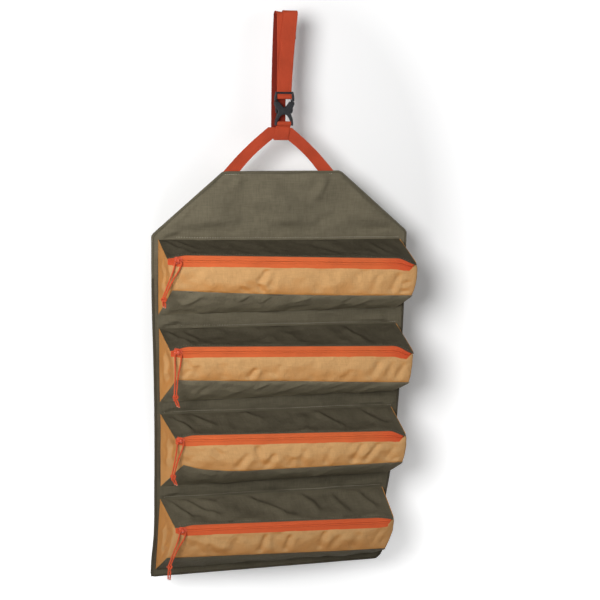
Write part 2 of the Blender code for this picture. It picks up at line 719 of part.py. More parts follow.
def buckle_male(material):
    """The upper half: two rails that carry the strap's centre bar and outer bar."""
    inner, outer = WEBBING_WIDTH / 2 + RAIL_PLAY, ARM_SPAN / 2 - MALE_STEP
    top = outer - MALE_TAPER
    foot, over_prong = FEMALE_TOP + GAP, PRONG_TOP + GAP
    step = CENTRE_BAR[1] - WRAP_RADIUS - WEBBING_THICKNESS / 2 - GAP
    prong_side = PRONG_INNER + PRONG_WIDTH + GAP
    rail = [(inner, MALE_TOP), (top, MALE_TOP), (outer, CENTRE_BAR[1]), (outer, foot), (prong_side, foot),
            (prong_side, over_prong), (PRONG_INNER - GAP, over_prong), (PRONG_INNER - GAP, step), (inner, step)]
    front_y, back_y = BUCKLE_Y - MALE_FRONT, BUCKLE_Y + MALE_BACK
    piece = add_piece("buckle_male", facing_plate(rail, front_y, back_y), material)
    for place in (CENTRE_BAR, OUTER_BAR):
        combine(piece, cross_bar(place, BAR_RADIUS, (inner + top) / 2), "UNION")
    combine(piece, facing_plate(mirrored(rail), front_y, back_y), "UNION")
    return piece


def prong_outline():
    inner, outer = PRONG_INNER, PRONG_INNER + PRONG_WIDTH
    foot = PRONG_TOP - PRONG_LENGTH
    barb = foot + PRONG_BARB_HEIGHT
    return [(inner, foot), (inner, PRONG_TOP), (outer, PRONG_TOP), (outer, barb),
            (outer + PRONG_BARB, barb - 2 * PRONG_BARB), (outer + PRONG_BARB, foot)]


def prong(name, outline, material):
    """A springy prong, squeezed inwards to release the buckle."""
    depth = PRONG_THICKNESS / 2
    return add_piece(name, facing_plate(outline, BUCKLE_Y - depth, BUCKLE_Y + depth), material)


# Assembly

def add_hanger():
    """The fixed strap, tab and handle, and the buckle's upper half on its release slide."""
    webbing = finish("webbing", WEBBING_ORANGE, 0.8)
    plastic = finish("buckle plastic", CHARCOAL, 0.45)
    strap_rear(webbing)
    tab(webbing)
    handle(webbing)
    buckle_female(plastic)
    release = pivot("buckle_release", (0, BUCKLE_Y, FEMALE_TOP))
    carry(release, buckle_male(plastic), strap_front(webbing))
    hinge_x = PRONG_INNER + PRONG_WIDTH / 2
    for name, hand, outline in (("left", -1, mirrored(prong_outline())), ("right", 1, prong_outline())):
        hinge = pivot(f"prong_{name}_flex", (hand * hinge_x, BUCKLE_Y, PRONG_TOP), release)
        carry(hinge, prong(f"prong_{name}", outline, plastic))


def add_flap():
    """The flap above the pouches, which swings under the handle. Returns the pivot of its fold."""
    swing = pivot("handle_fold", (0, BINDING_FRONT + EDGE_RADIUS, TOP_Z - EDGE_RADIUS))
    bound = (0, 1, 2, 4, 5)
    tape = finish("binding tape", EDGE_OLIVE, 0.85)
    carry(swing, panel("flap", flap_outline(), bound, finish("olive cloth", OLIVE, 0.9)),
          round_binding("flap_binding", flap_outline(), bound, SEAMS[0], -1, tape, EDGE_RADIUS))
    return swing


def add_section(k, above):
    """One stretch of the panel with its pouch. Returns the pivot of its fold."""
    pouch = Pouch(k)
    fold = pivot(f"fold_{k + 1}", (0, PANEL_FRONT, pouch.seam), above)
    tape = finish("binding tape", EDGE_OLIVE, 0.85)
    if k + 1 < len(SEAMS):
        bound = (1, 3)
        bindings = [side_binding(f"binding_left_{k + 1}", -1, k, tape),
                    side_binding(f"binding_right_{k + 1}", 1, k, tape)]
    else:
        bound = (1, 2, 3)
        bindings = [round_binding("binding_foot", stretch_outline(k), bound, SEAMS[k], 1, tape)]
    carry(fold, panel(f"back_{k + 1}", stretch_outline(k), bound, finish("olive cloth", OLIVE, 0.9)), *bindings)
    dark = finish("dark olive cloth", DARK_OLIVE, 0.9)
    zip_tape = finish("zip tape", ZIP_ORANGE, 0.75)
    carry(fold, lid(pouch, dark), floor(pouch, dark), front(pouch, finish("tan cloth", TAN, 0.85)),
          zip_half(f"zip_upper_{k + 1}", pouch, pouch.lid + pouch.under_lid, 1, zip_tape),
          zip_half(f"zip_lower_{k + 1}", pouch, pouch.zip_foot - GAP / 2, -1, zip_tape))
    slide = pivot(f"slide_{k + 1}", pouch.slider_middle(), fold)
    carry(slide, slider(pouch, finish("zip slider", ZIP_ORANGE, 0.4, 0.3)))
    swing = pivot(f"swing_{k + 1}", pouch.crown_hole(), slide)
    carry(swing, pull_cord(pouch, finish("cord", CORD_ORANGE, 0.8)))
    return fold


clear_scene()
PART = new_collection("kitchen_utensil_roll")
CUTTERS = new_collection("cutters")
add_hanger()
last_fold = add_flap()
for number in POUCHES:
    last_fold = add_section(number, last_fold)
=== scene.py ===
"""The looks of a hanging roll for camp-kitchen utensils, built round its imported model.

Lengths are in millimetres inside the helpers and become metres when a piece is made.
X is to the right, -Y towards the viewer and +Z up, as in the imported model.
"""

import json
from math import acos, atan2, cos, degrees, hypot, pi, radians, sin

import bmesh
import bpy
import numpy as np
from mathutils import Matrix, Vector


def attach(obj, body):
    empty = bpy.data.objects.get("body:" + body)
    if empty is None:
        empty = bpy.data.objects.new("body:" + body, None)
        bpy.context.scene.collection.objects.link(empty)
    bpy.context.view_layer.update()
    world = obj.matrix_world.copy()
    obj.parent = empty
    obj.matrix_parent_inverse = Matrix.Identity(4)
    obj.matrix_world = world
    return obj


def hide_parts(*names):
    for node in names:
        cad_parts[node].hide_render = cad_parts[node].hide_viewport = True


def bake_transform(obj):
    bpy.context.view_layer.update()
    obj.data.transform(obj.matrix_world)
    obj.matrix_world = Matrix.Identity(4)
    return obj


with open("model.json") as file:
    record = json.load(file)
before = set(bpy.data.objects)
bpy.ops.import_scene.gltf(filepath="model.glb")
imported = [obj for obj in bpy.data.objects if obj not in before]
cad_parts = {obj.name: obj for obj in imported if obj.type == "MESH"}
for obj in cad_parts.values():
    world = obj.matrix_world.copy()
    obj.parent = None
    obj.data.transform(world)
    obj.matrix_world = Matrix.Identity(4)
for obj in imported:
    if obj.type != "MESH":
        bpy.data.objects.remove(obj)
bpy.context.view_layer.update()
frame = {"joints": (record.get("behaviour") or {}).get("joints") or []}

MM = 0.001
JOINTS = {joint["name"]: joint for joint in frame["joints"]}
SEAMS = [JOINTS[f"fold_{k}"]["pos_m"][2] * 1000 for k in range(1, 5)]
HOLES = [np.array(JOINTS[f"pull_swing_{k}"]["pos_m"]) * 1000 for k in range(1, 5)]
TOP = -264.0
BOTTOM = -988.0
PANEL_FRONT = -5.0
PANEL_BACK = -1.0
HALF_WIDTH = 225.0
TOP_HALF = 103.0
SHOULDER = -371.0
TAPE_Y = -72.6
ZIP_SLOPE = 0.035556
WHITE = (1, 1, 1, 1)
TO_FRONT = (0, -1, 0)


# Camera and light

CAMERA_AIM = (0.0356, -0.003, -0.4908)
CAMERA_REACH = 2.2


def add_object(name, data):
    made = bpy.data.objects.new(name, data)
    bpy.context.scene.collection.objects.link(made)
    return made


def add_camera():
    """The camera that a fit of the pouches and edges to the photograph gives."""
    yaw, pitch, roll = radians(-14), radians(12), radians(1.2)
    forward = Vector((-sin(yaw) * cos(pitch), cos(yaw) * cos(pitch), -sin(pitch)))
    right = forward.cross(Vector((0, 0, 1))).normalized()
    up = right.cross(forward)
    across = right * cos(roll) + up * sin(roll)
    upward = up * cos(roll) - right * sin(roll)
    camera = add_object("camera", bpy.data.cameras.new("camera"))
    turn = Matrix((across, upward, -forward)).transposed().to_4x4()
    camera.matrix_world = Matrix.Translation(Vector(CAMERA_AIM) - forward * CAMERA_REACH) @ turn
    camera.data.sensor_width = 36
    camera.data.lens = 75.24
    camera.data.clip_start = 0.05
    camera.data.clip_end = 50
    bpy.context.scene.camera = camera


def add_lamp(name, place, target, size, power):
    lamp = add_object(name, bpy.data.lights.new(name, "AREA"))
    lamp.data.shape = "DISK"
    lamp.data.size = size
    lamp.data.energy = power
    lamp.location = place
    lamp.rotation_mode = "QUATERNION"
    lamp.rotation_quaternion = (Vector(target) - Vector(place)).to_track_quat("-Z", "Y")


# Materials

def rgb(colour, share=1.0):
    """A display colour, 0 to 255, as linear values, made lighter or darker by a share."""
    values = [c / 255 for c in colour]
    return (*[share * (v / 12.92 if v <= 0.04045 else ((v + 0.055) / 1.055) ** 2.4) for v in values], 1.0)


class Nodes:
    """Short ways to add nodes to a tree. Values are numbers, colours or other nodes' sockets."""

    def __init__(self, tree):
        self.tree = tree

    def put(self, sockets, values):
        for key, value in values.items():
            if isinstance(value, bpy.types.NodeSocket):
                self.tree.links.new(value, sockets[key])
            else:
                sockets[key].default_value = value

    def add(self, kind, values=(), **settings):
        made = self.tree.nodes.new("ShaderNode" + kind)
        for key, value in settings.items():
            setattr(made, key, value)
        self.put(made.inputs, dict(values))
        return made

    def maths(self, operation, first, second=0.5):
        return self.add("Math", {0: first, 1: second}, operation=operation).outputs[0]

    def most(self, first, *others):
        """The largest of some values."""
        for other in others:
            first = self.maths("MAXIMUM", first, other)
        return first

    def mix(self, share, first, second):
        return self.add("Mix", {0: share, 6: first, 7: second}, data_type="RGBA").outputs[2]

    def span(self, value, low, high, to_low=0.0, to_high=1.0):
        """A value mapped from one range to another, and kept inside it."""
        return self.add("MapRange", {0: value, 1: low, 2: high, 3: to_low, 4: to_high}).outputs[0]

    def axis(self, vector, letter):
        return self.add("SeparateXYZ", {0: vector}).outputs[letter]

    def object_place(self):
        return self.add("TexCoord").outputs["Object"]

    def cloth_place(self, across=1, along=1):
        """Metres across and along the cloth, stretched by two scales."""
        place = self.add("UVMap", uv_map="cloth").outputs[0]
        return self.add("Mapping", {0: place, 3: (across, along, 1)}).outputs[0]

    def noise(self, scale, detail=3.0, roughness=0.55, place=None):
        where = self.object_place() if place is None else place
        values = {"Vector": where, "Scale": scale, "Detail": detail, "Roughness": roughness}
        return self.add("TexNoise", values).outputs["Fac"]

    def bands(self, pitch, direction="X", distortion=0.0, place=None):
        """Sine ribs of a real pitch in metres."""
        where = self.cloth_place() if place is None else place
        values = {"Vector": where, "Scale": 2 * pi / (20 * pitch),
                  "Distortion": distortion, "Detail": 1.0, "Detail Scale": 1.5}
        return self.add("TexWave", values, wave_type="BANDS", bands_direction=direction).outputs["Fac"]

    def bumps(self, *layers):
        """The normal that heights give one over another, each (height, distance in metres)."""
        under = {}
        for height, distance in layers:
            values = {"Height": height, "Distance": distance, "Strength": 1.0, **under}
            under = {"Normal": self.add("Bump", values).outputs[0]}
        return under["Normal"]


class Paint(Nodes):
    """A material in the making, with its main colour in display values."""

    def __init__(self, name, colour=(255, 255, 255)):
        self.material = bpy.data.materials.new(name)
        self.material.use_nodes = True
        super().__init__(self.material.node_tree)
        self.shader = self.tree.nodes["Principled BSDF"]
        self.colour = colour

    def tones(self, value, low, high, dark, light):
        """The colour from a darker to a lighter share, as a value goes from low to high."""
        return self.mix(self.span(value, low, high), rgb(self.colour, dark), rgb(self.colour, light))

    def layer(self, under, value, ranges, share):
        """Over a tone, a share of the colour, as strong as a value's ranges make it."""
        return self.mix(self.span(value, *ranges), under, rgb(self.colour, share))

    def finish(self, tone, roughness, specular, normal, **others):
        names = {"sheen": "Sheen Weight", "sheen_roughness": "Sheen Roughness", "sheen_tint": "Sheen Tint",
                 "metallic": "Metallic"}
        values = {names[key]: value for key, value in others.items()}
        self.put(self.shader.inputs, {"Base Color": tone, "Roughness": roughness, "Normal": normal,
                                      "Specular IOR Level": specular, **values})
        return self.material


def cloth_material(name, colour, pitch, weave, crumple, roughness, sheen, streaks, fade, level=None,
                   painted_shade_colour=None):
    """A plain weave with uneven threads, faint creases and a little wear.

    level is (low, high, share at the low height, share at the high one): painted light and shade that makes
    the cloth lighter or darker with its height, as the light falls off down its length. The colour given last
    is painted shade, taken where the cloth turns sideways or down.
    """
    paint = Paint(name, colour)
    woven = paint.maths("MULTIPLY", paint.bands(pitch, "X", 0.4), paint.bands(pitch, "Y", 0.4))
    slubs = [paint.noise(1.0, 2.0, place=paint.cloth_place(*scale)) for scale in ((460, 50), (50, 460))]
    thread = paint.maths("ADD", *slubs)
    creases = paint.noise(55, 5.0, 0.62)
    tone = paint.tones(thread, 0.7, 1.3, 1 - streaks, 1 + streaks)
    tone = paint.layer(tone, paint.noise(16, 4.0, 0.6), (0.35, 0.7, 0.0, fade), 1.7)
    tone = paint.layer(tone, woven, (0.0, 0.6, 0.22, 0.0), 0.45)
    # Painted shade: a deeper colour where the cloth turns sideways or down, away from the light
    if painted_shade_colour is not None:
        normal = paint.add("NewGeometry").outputs["Normal"]
        turned = paint.most(paint.span(paint.axis(normal, "Y"), -0.8, -0.3),
                            paint.span(paint.axis(normal, "Z"), -0.6, -0.08, 1.0, 0.0))
        tone = paint.mix(turned, tone, rgb(painted_shade_colour))
    # Painted light and shade: the colour is scaled up or down with height
    if level is not None:
        share = paint.span(paint.axis(paint.object_place(), "Z"), *level)
        tone = paint.add("VectorMath", {0: tone, "Scale": share}, operation="SCALE").outputs["Vector"]
    return paint.finish(tone, paint.span(creases, 0.3, 0.7, roughness - 0.06, roughness + 0.06),
                        0.03 if painted_shade_colour is None else 0.1,
                        paint.bumps((creases, crumple), (woven, weave), (thread, weave * 0.5)),
                        sheen=sheen, sheen_roughness=0.45, sheen_tint=rgb(colour, 2.5))


def tape_material(name, colour, pitch, across, roughness, relief, contrast, ends=None):
    """Knitted or woven tape with ribs along it and finer ribs across it; ends is painted shade, a darker
    colour taken towards both ends and low down.
    """
    paint = Paint(name, colour)
    fuzz = paint.noise(220, 4.0, 0.65)
    height = paint.maths("ADD", paint.maths("MULTIPLY", paint.bands(across, "X", 0.15), 0.5),
                         paint.bands(pitch, "Y", 0.3))
    tone = paint.tones(paint.noise(22, 3.0, 0.55), 0.3, 0.7, 0.9, 1.08)
    tone = paint.layer(tone, height, (0.1, 0.9, contrast, 0.0), 0.55)
    # Painted shade: the tape takes the darker colour towards both ends and low down on the lowest pouch
    if ends is not None:
        place = paint.object_place()
        near = paint.most(paint.span(paint.axis(place, "X"), 0.150, 0.212),
                          paint.span(paint.axis(place, "X"), -0.205, -0.165, 1.0, 0.0),
                          paint.span(paint.axis(place, "Z"), -0.90, -0.80, 0.6, 0.0))
        tone = paint.mix(near, tone, rgb(ends))
    return paint.finish(paint.layer(tone, fuzz, (0.55, 0.8, 0.0, 0.12), 1.8),
                        paint.span(fuzz, 0.3, 0.7, roughness - 0.08, roughness + 0.08), 0.2,
                        paint.bumps((height, relief), (fuzz, 0.00012)),
                        sheen=0.03, sheen_tint=rgb(colour, 1.5))


def webbing_material(name, colour):
    """Flat woven webbing: a herringbone of fine ribs."""
    paint = Paint(name, colour)
    fuzz = paint.noise(260, 4.0, 0.65)
    ribs = paint.maths("MULTIPLY", paint.bands(0.0016, "Y", 0.12), paint.bands(0.0021, "X", 0.1))
    lean = paint.bands(0.0012, "DIAGONAL", 0.2, paint.cloth_place(1, 0.6))
    height = paint.maths("ADD", ribs, paint.maths("MULTIPLY", lean, 0.3))
    tone = paint.tones(paint.noise(30, 3.0, 0.5), 0.3, 0.7, 0.88, 1.1)
    tone = paint.layer(tone, height, (0.0, 0.8, 0.5, 0.0), 0.5)
    return paint.finish(paint.layer(tone, fuzz, (0.6, 0.8, 0.0, 0.15), 1.9), 0.72, 0.2,
                        paint.bumps((height, 0.00035), (fuzz, 0.0001)),
                        sheen=0.04, sheen_tint=rgb(colour, 1.5))


def cord_material(name, colour):
    """A fine braid: two sets of strands that wind opposite ways."""
    paint = Paint(name, colour)
    height = paint.most(*[paint.bands(0.0011, "DIAGONAL", 0.1, paint.cloth_place(hand)) for hand in (1, -1)])
    tone = paint.tones(paint.noise(300, 4.0, 0.6), 0.3, 0.7, 0.85, 1.15)
    return paint.finish(paint.layer(tone, height, (0.3, 0.9, 0.55, 0.0), 0.4), 0.65, 0.25,
                        paint.bumps((height, 0.0003)), sheen=0.04)


def thread_material(name, colour):
    paint = Paint(name, colour)
    twist = paint.bands(0.0006, "DIAGONAL")
    tone = paint.tones(paint.noise(400), 0.3, 0.7, 0.8, 1.15)
    return paint.finish(paint.layer(tone, twist, (0.0, 1.0, 0.3, 0.0), 0.5), 0.6, 0.5,
                        paint.bumps((twist, 0.0001)))


def plastic_material(name, colour):
    """Moulded acetal with a fine spark texture and rubbed high spots."""
    paint = Paint(name, colour)
    rub = paint.noise(90, 5.0, 0.65)
    return paint.finish(paint.layer(rgb(colour), rub, (0.5, 0.75, 0.0, 0.25), 1.9),
                        paint.span(rub, 0.3, 0.7, 0.40, 0.56), 0.35,
                        paint.bumps((rub, 0.00005), (paint.noise(1400, 3.0, 0.6), 0.00004)))


def slider_material(name, colour):
    """Enamelled metal whose paint is rubbed off here and there."""
    paint = Paint(name, colour)
    chips = paint.noise(420, 5.0, 0.7)
    bare = paint.span(chips, 0.62, 0.70)
    return paint.finish(paint.mix(bare, rgb(colour), (0.85, 0.72, 0.66, 1)),
                        paint.span(chips, 0.3, 0.7, 0.24, 0.38), 0.5, paint.bumps((chips, 0.00006)),
                        metallic=bare)


def melted_material(name, pale, strong):
    """Melted cord end: pale, glossy and lumpy."""
    paint = Paint(name)
    lumps = paint.noise(700)
    return paint.finish(paint.mix(paint.span(lumps, 0.4, 0.65), rgb(pale), rgb(strong)), 0.3, 0.5,
                        paint.bumps((lumps, 0.0003)))


# Mesh building, in millimetres

class Form:
    """Points, faces, cloth places and finishes, gathered for one piece."""

    def __init__(self):
        self.points, self.faces, self.places, self.finishes = [], [], [], []
        self.count = 0

    def add(self, points, faces, places, finish=0):
        self.points.append(np.asarray(points, float))
        self.places.append(np.asarray(places, float))
        self.faces.extend([tuple(i + self.count for i in face) for face in faces])
        self.finishes.extend([finish] * len(faces))
        self.count += len(points)

    def make(self, name, materials, slot, *nodes, sharp=40):
        """The piece in metres, with its materials, in the place of CAD nodes; slot is not used."""
        mesh = bpy.data.meshes.new(name)
        points = np.concatenate(self.points) * MM
        places = np.concatenate(self.places) * MM
        mesh.from_pydata(points.tolist(), [], self.faces)
        for material in materials:
            mesh.materials.append(material)
        mesh.polygons.foreach_set("material_index", self.finishes)
        corners = np.zeros(len(mesh.loops), int)
        mesh.loops.foreach_get("vertex_index", corners)
        layer = mesh.uv_layers.new(name="cloth")
        layer.data.foreach_set("uv", places[corners].ravel())
        body = bmesh.new()
        body.from_mesh(mesh)
        bmesh.ops.recalc_face_normals(body, faces=body.faces)
        body.to_mesh(mesh)
        body.free()
        mesh.shade_smooth()
        mesh.set_sharp_from_angle(angle=radians(sharp))
        piece = add_object(name, mesh)
        if nodes:
            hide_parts(*nodes)
        return piece


def unit(vectors):
    return vectors / np.maximum(np.linalg.norm(vectors, axis=-1, keepdims=True), 1e-9)


def spots(x, y, z):
    """Points from three coordinates, which are arrays or single numbers."""
    return np.stack(np.broadcast_arrays(x, y, z), axis=-1)


def lengths(line):
    """How far along a line each of its points lies."""
    return np.concatenate([[0], np.cumsum(np.linalg.norm(np.diff(line, axis=0), axis=1))])


def values_at(want, run, values):
    """A line's values at some lengths along it."""
    return np.stack([np.interp(want, run, values[:, i]) for i in range(values.shape[1])], axis=1)


def tangents(line, closed=False):
    line = np.asarray(line, float)
    if closed:
        return unit(np.roll(line, -1, axis=0) - np.roll(line, 1, axis=0))
    return unit(np.gradient(line, axis=0))


def ring(around, width=1.0, height=1.0, up=0.0):
    return [(width * cos(a), up + height * sin(a)) for a in np.linspace(0, 2 * pi, around, endpoint=False)]


def ring_faces(rings, around, closed=False):
    """Faces between rings of points, and over both ends where they don't close on themselves."""
    faces = []
    for i in range(rings if closed else rings - 1):
        a, b = i * around, (i + 1) % rings * around
        for j in range(around):
            k = (j + 1) % around
            faces.append((a + j, a + k, b + k, b + j))
    if not closed:
        faces += [tuple(range(around - 1, -1, -1)), tuple(range((rings - 1) * around, rings * around))]
    return faces


def outward(grid):
    """Unit normals of a grid whose columns run right and whose rows run down the front."""
    return -unit(np.cross(np.gradient(grid, axis=1), np.gradient(grid, axis=0)))


def distances(grid):
    """Millimetres along the columns and along the rows, for a weave that follows the cloth."""
    across = np.zeros(grid.shape[:2])
    down = np.zeros(grid.shape[:2])
    across[:, 1:] = np.cumsum(np.linalg.norm(np.diff(grid, axis=1), axis=2), axis=1)
    down[1:] = np.cumsum(np.linalg.norm(np.diff(grid, axis=0), axis=2), axis=0)
    across -= across[:, across.shape[1] // 2][:, None]
    return np.stack([across, down], axis=2)


def slab(form, grid, thickness=0.9, back=None, places=None):
    """Cloth under a grid of points, closed all round."""
    rows, columns = grid.shape[:2]
    under = grid - outward(grid) * thickness if back is None else back
    flat = (distances(grid) if places is None else places).reshape(-1, 2)
    rest = rows * columns
    faces = []
    for r in range(rows - 1):
        for c in range(columns - 1):
            a = r * columns + c
            faces.append((a, a + columns, a + columns + 1, a + 1))
            faces.append((rest + a, rest + a + 1, rest + a + columns + 1, rest + a + columns))
    rim = [*range(columns), *range(2 * columns - 1, rest, columns),
           *range(rest - 2, rest - columns - 1, -1), *range(rest - 2 * columns, 0, -columns)]
    for a, b in zip(rim, rim[1:] + rim[:1]):
        faces.append((a, b, rest + b, rest + a))
    points = np.concatenate([grid.reshape(-1, 3), under.reshape(-1, 3)])
    form.add(points, faces, np.concatenate([flat, flat]))


def sweep(form, line, sides, ups, profile, finish=0, closed=False):
    """A profile, in sides and ups, carried along a line."""
    line, sides, ups, profile = (np.asarray(v, float) for v in (line, sides, ups, profile))
    points = line[:, None] + sides[:, None] * profile[None, :, :1] + ups[:, None] * profile[None, :, 1:]
    places = np.stack(np.broadcast_arrays(lengths(profile)[None, :], lengths(line)[:, None]), axis=2)
    faces = ring_faces(len(line), len(profile), closed)
    form.add(points.reshape(-1, 3), faces, places.reshape(-1, 2), finish)


def tube(form, line, radius, finish=0, closed=False, around=10, ends=None):
    """A round cord along a line. Its frame turns as little as it can; ends round off its tips."""
    line = np.asarray(line, float)
    radii = np.full(len(line), float(radius))
    if ends:
        run = lengths(line)
        left = np.minimum(run, run[-1] - run) if ends == "both" else run[-1] - run
        radii *= np.sqrt(np.clip(1 - (1 - np.clip(left / radius, 0.02, 1)) ** 2, 0.03, 1))
    way = tangents(line, closed)
    side = unit(np.cross(way[0], [0.13, 1.0, 0.21]))
    sides = []
    for t in way:
        side = unit(side - t * np.dot(side, t))
        sides.append(side)
    sides = np.array(sides)
    if closed:
        first, last = sides[0], sides[-1]
        twist = atan2(float(np.dot(np.cross(last, first), way[0])), float(np.dot(last, first)))
        for i, t in enumerate(way):
            a = twist * i / len(way)
            sides[i] = sides[i] * cos(a) + np.cross(t, sides[i]) * sin(a)
    ups = np.cross(way, sides)
    sweep(form, line, sides * radii[:, None], ups * radii[:, None], ring(around), finish, closed)


def smooth_route(points, steps):
    """Points along a smooth curve through a route's own points."""
    points = [np.asarray(p, float) for p in points]
    route = [points[0], *points, points[-1]]
    line = []
    for a, b, c, d in zip(route, route[1:], route[2:], route[3:]):
        for i in range(steps):
            t = i / steps
            line.append((2 * b + (c - a) * t + (2 * a - 5 * b + 4 * c - d) * t ** 2
                         + (3 * b - a - 3 * c + d) * t ** 3) / 2)
    return np.array([*line, points[-1]])


def even_steps(line, pitch):
    """A line's points at even steps of about a pitch."""
    line = np.asarray(line, float)
    run = lengths(line)
    return values_at(np.linspace(0, run[-1], max(2, round(run[-1] / pitch) + 1)), run, line)


# A stitch's rings, as shares of its length and of its radius
STITCH = ((-0.5, 0.25), (-0.36, 0.85), (0.0, 1.0), (0.36, 0.85), (0.5, 0.25))


def stitches(form, line, normals, pitch, length, radius, sink=0.1):
    """A row of stitches along a line on cloth, each a small bead of the piece's second material."""
    line = np.asarray(line, float)
    run = lengths(line)
    count = max(1, int(run[-1] / pitch))
    middles = (np.arange(count) + 0.5) * run[-1] / count
    up = unit(values_at(middles, run, np.broadcast_to(np.asarray(normals, float), line.shape)))
    way = unit(values_at(middles + 0.5, run, line) - values_at(middles - 0.5, run, line))
    angles = [2 * pi * j / 6 for j in range(6)]
    faces = ring_faces(len(STITCH), len(angles))
    places = [(radius * angle, step * length) for step, _ in STITCH for angle in angles]
    for centre, t, u, s in zip(values_at(middles, run, line), way, up, unit(np.cross(up, way))):
        points = []
        for step, share in STITCH:
            for angle in angles:
                lift = share * radius * sin(angle) - sink + 0.12 * (share - 0.25)
                points.append(centre + t * step * length + s * share * radius * cos(angle) + u * lift)
        form.add(points, faces, places, 1)


def step_up(value):
    """0 below 0, 1 above 1, and smooth between."""
    value = np.clip(value, 0, 1)
    return value * value * (3 - 2 * value)


def plateau(share, rise, fall=None):
    """1 between a share's two ends, and easing to 0 at each."""
    return step_up(share / rise) * step_up((1 - share) / (fall or rise))


def between(first, last, share):
    return first + (last - first) * share


def ripples(u, v, seed, size, count=12):
    """A smooth random height, about -1 to 1, with waves of about one size."""
    rng = np.random.default_rng(seed)
    total = 0
    for _ in range(count):
        angle, phase, length = rng.uniform(0, 2 * pi), rng.uniform(0, 2 * pi), size * rng.uniform(0.7, 1.7)
        total = total + np.sin((u * cos(angle) + v * sin(angle)) * 2 * pi / length + phase)
    return total / (count / 2) ** 0.5 / 1.4


def folds(u, v, lines):
    """Heights of folds, each (u0, v0, u1, v1, width, height): a ridge with a softer hollow beside it."""
    total = np.zeros(np.broadcast(u, v).shape)
    for u0, v0, u1, v1, width, height in lines:
        du, dv = u1 - u0, v1 - v0
        length = hypot(du, dv)
        along = ((u - u0) * du + (v - v0) * dv) / length ** 2
        aside = ((u - u0) * dv - (v - v0) * du) / length + 0.12 * length * (along - along ** 2)
        wide = width * (0.75 + 0.5 * np.clip(along, 0, 1))
        fade = step_up(along * 3.5 + 0.2) * step_up((1 - along) * 3.5 + 0.2)
        ridge = np.exp(-(aside / wide) ** 2) - 0.6 * np.exp(-((aside - 1.7 * wide) / (1.3 * wide)) ** 2)
        total += height * fade * ridge
    return total


def creased(u, v, seed, large, small, lines, share=1.0):
    """Folds over waves of two kinds, each (height, size)."""
    return (large[0] * ripples(u, v, seed, large[1]) + small[0] * ripples(u, v, seed + 10, small[1])
            + share * folds(u, v, lines))


def curve_through(x, knots):
    """A smooth curve through a few (x, value) knots."""
    xs, values = (np.array(row, float) for row in zip(*knots))
    slopes = np.gradient(values, xs)
    i = np.clip(np.searchsorted(xs, x) - 1, 0, len(xs) - 2)
    gap = xs[i + 1] - xs[i]
    t = np.clip((x - xs[i]) / gap, -0.2, 1.2)
    return ((2 * t ** 3 - 3 * t ** 2 + 1) * values[i] + (t ** 3 - 2 * t ** 2 + t) * gap * slopes[i]
            + (3 * t ** 2 - 2 * t ** 3) * values[i + 1] + (t ** 3 - t ** 2) * gap * slopes[i + 1])


add_camera()

# Olive cloth, painted darker lower down: painted shade where the light falls off
OLIVE = cloth_material("olive_cloth", (113, 106, 88), 0.0009, 0.00022, 0.0014, 0.85, 0.05, 0.15, 0.12,
                       (-0.62, -0.40, 0.66, 1.0))
# Lid cloth, painted lighter lower down: painted light, as the lower lids face the lamp more
DARK = cloth_material("dark_olive_cloth", (83, 77, 63), 0.0006, 0.00012, 0.0018, 0.70, 0.04, 0.14, 0.16,
                      (-0.90, -0.40, 1.38, 0.87))
# Undersides: a lighter copy of the olive cloth, painted light, and darker lower down, painted shade
LIT_UNDERSIDE_CLOTH = cloth_material("underside_cloth_painted_light", (136, 127, 105), 0.0006, 0.00012, 0.0016, 0.66, 0.05, 0.12,
                             0.12, (-0.97, -0.66, 0.45, 1.0))
# Tan cloth, painted darker at the bottom and deeper where it turns sideways or down: painted shade
TAN = cloth_material("tan_cloth", (212, 164, 109), 0.0005, 0.00009, 0.0026, 0.66, 0.04, 0.07, 0.05,
                     (-0.90, -0.82, 0.92, 1.0), (206, 142, 78))
PIPING = cloth_material("tan_piping", (204, 144, 82), 0.0005, 0.00009, 0.0006, 0.75, 0.04, 0.06, 0.05)
BINDING = tape_material("binding_tape", (74, 68, 54), 0.0012, 0.0016, 0.85, 0.0002, 0.3)
FLAP_BINDING = tape_material("flap_binding_tape", (98, 92, 75), 0.0012, 0.0016, 0.85, 0.0002, 0.3)
# Zip tape, with a darker colour painted as shade at its ends and low down
ZIP = tape_material("zip_tape", (213, 101, 54), 0.0009, 0.0011, 0.66, 0.00008, 0.1, (206, 80, 44))
WEBBING = webbing_material("webbing", (191, 73, 43))
# A darker copy of the webbing for the rear strap's leg: painted shade
SHADED_WEBBING = webbing_material("webbing_painted_shade", (128, 36, 20))
CORD = cord_material("pull_cord", (216, 86, 48))
METAL = slider_material("zip_slider", (202, 76, 44))
PLASTIC = plastic_material("buckle_plastic", (31, 31, 35))
THREAD = thread_material("thread", (204, 198, 178))
HEM_THREAD = thread_material("hem_thread", (132, 126, 108))
ORANGE_THREAD = thread_material("orange_thread", (160, 56, 34))
ZIP_THREAD = thread_material("zip_thread", (204, 92, 48))
DARK_THREAD = thread_material("dark_thread", (58, 52, 42))
# Near-black lines in the pouches' seams: painted shade
SEAM_SHADE = thread_material("seam_painted_shade", (40, 34, 26))
MELTED = melted_material("melted_end", (226, 170, 140), (214, 96, 66))


# Pull cords

# Each cord's knot and the foot of its tails, in X and Z from the hole that it goes through
KNOTS = ((-24, -66), (-5, -79), (-13, -64), (-23, -66))
TAILS = ((-23, -78), (0, -95), (-8, -78), (-24, -88))
CORD_ARCH = 5.5
CORD_RADIUS = 1.3


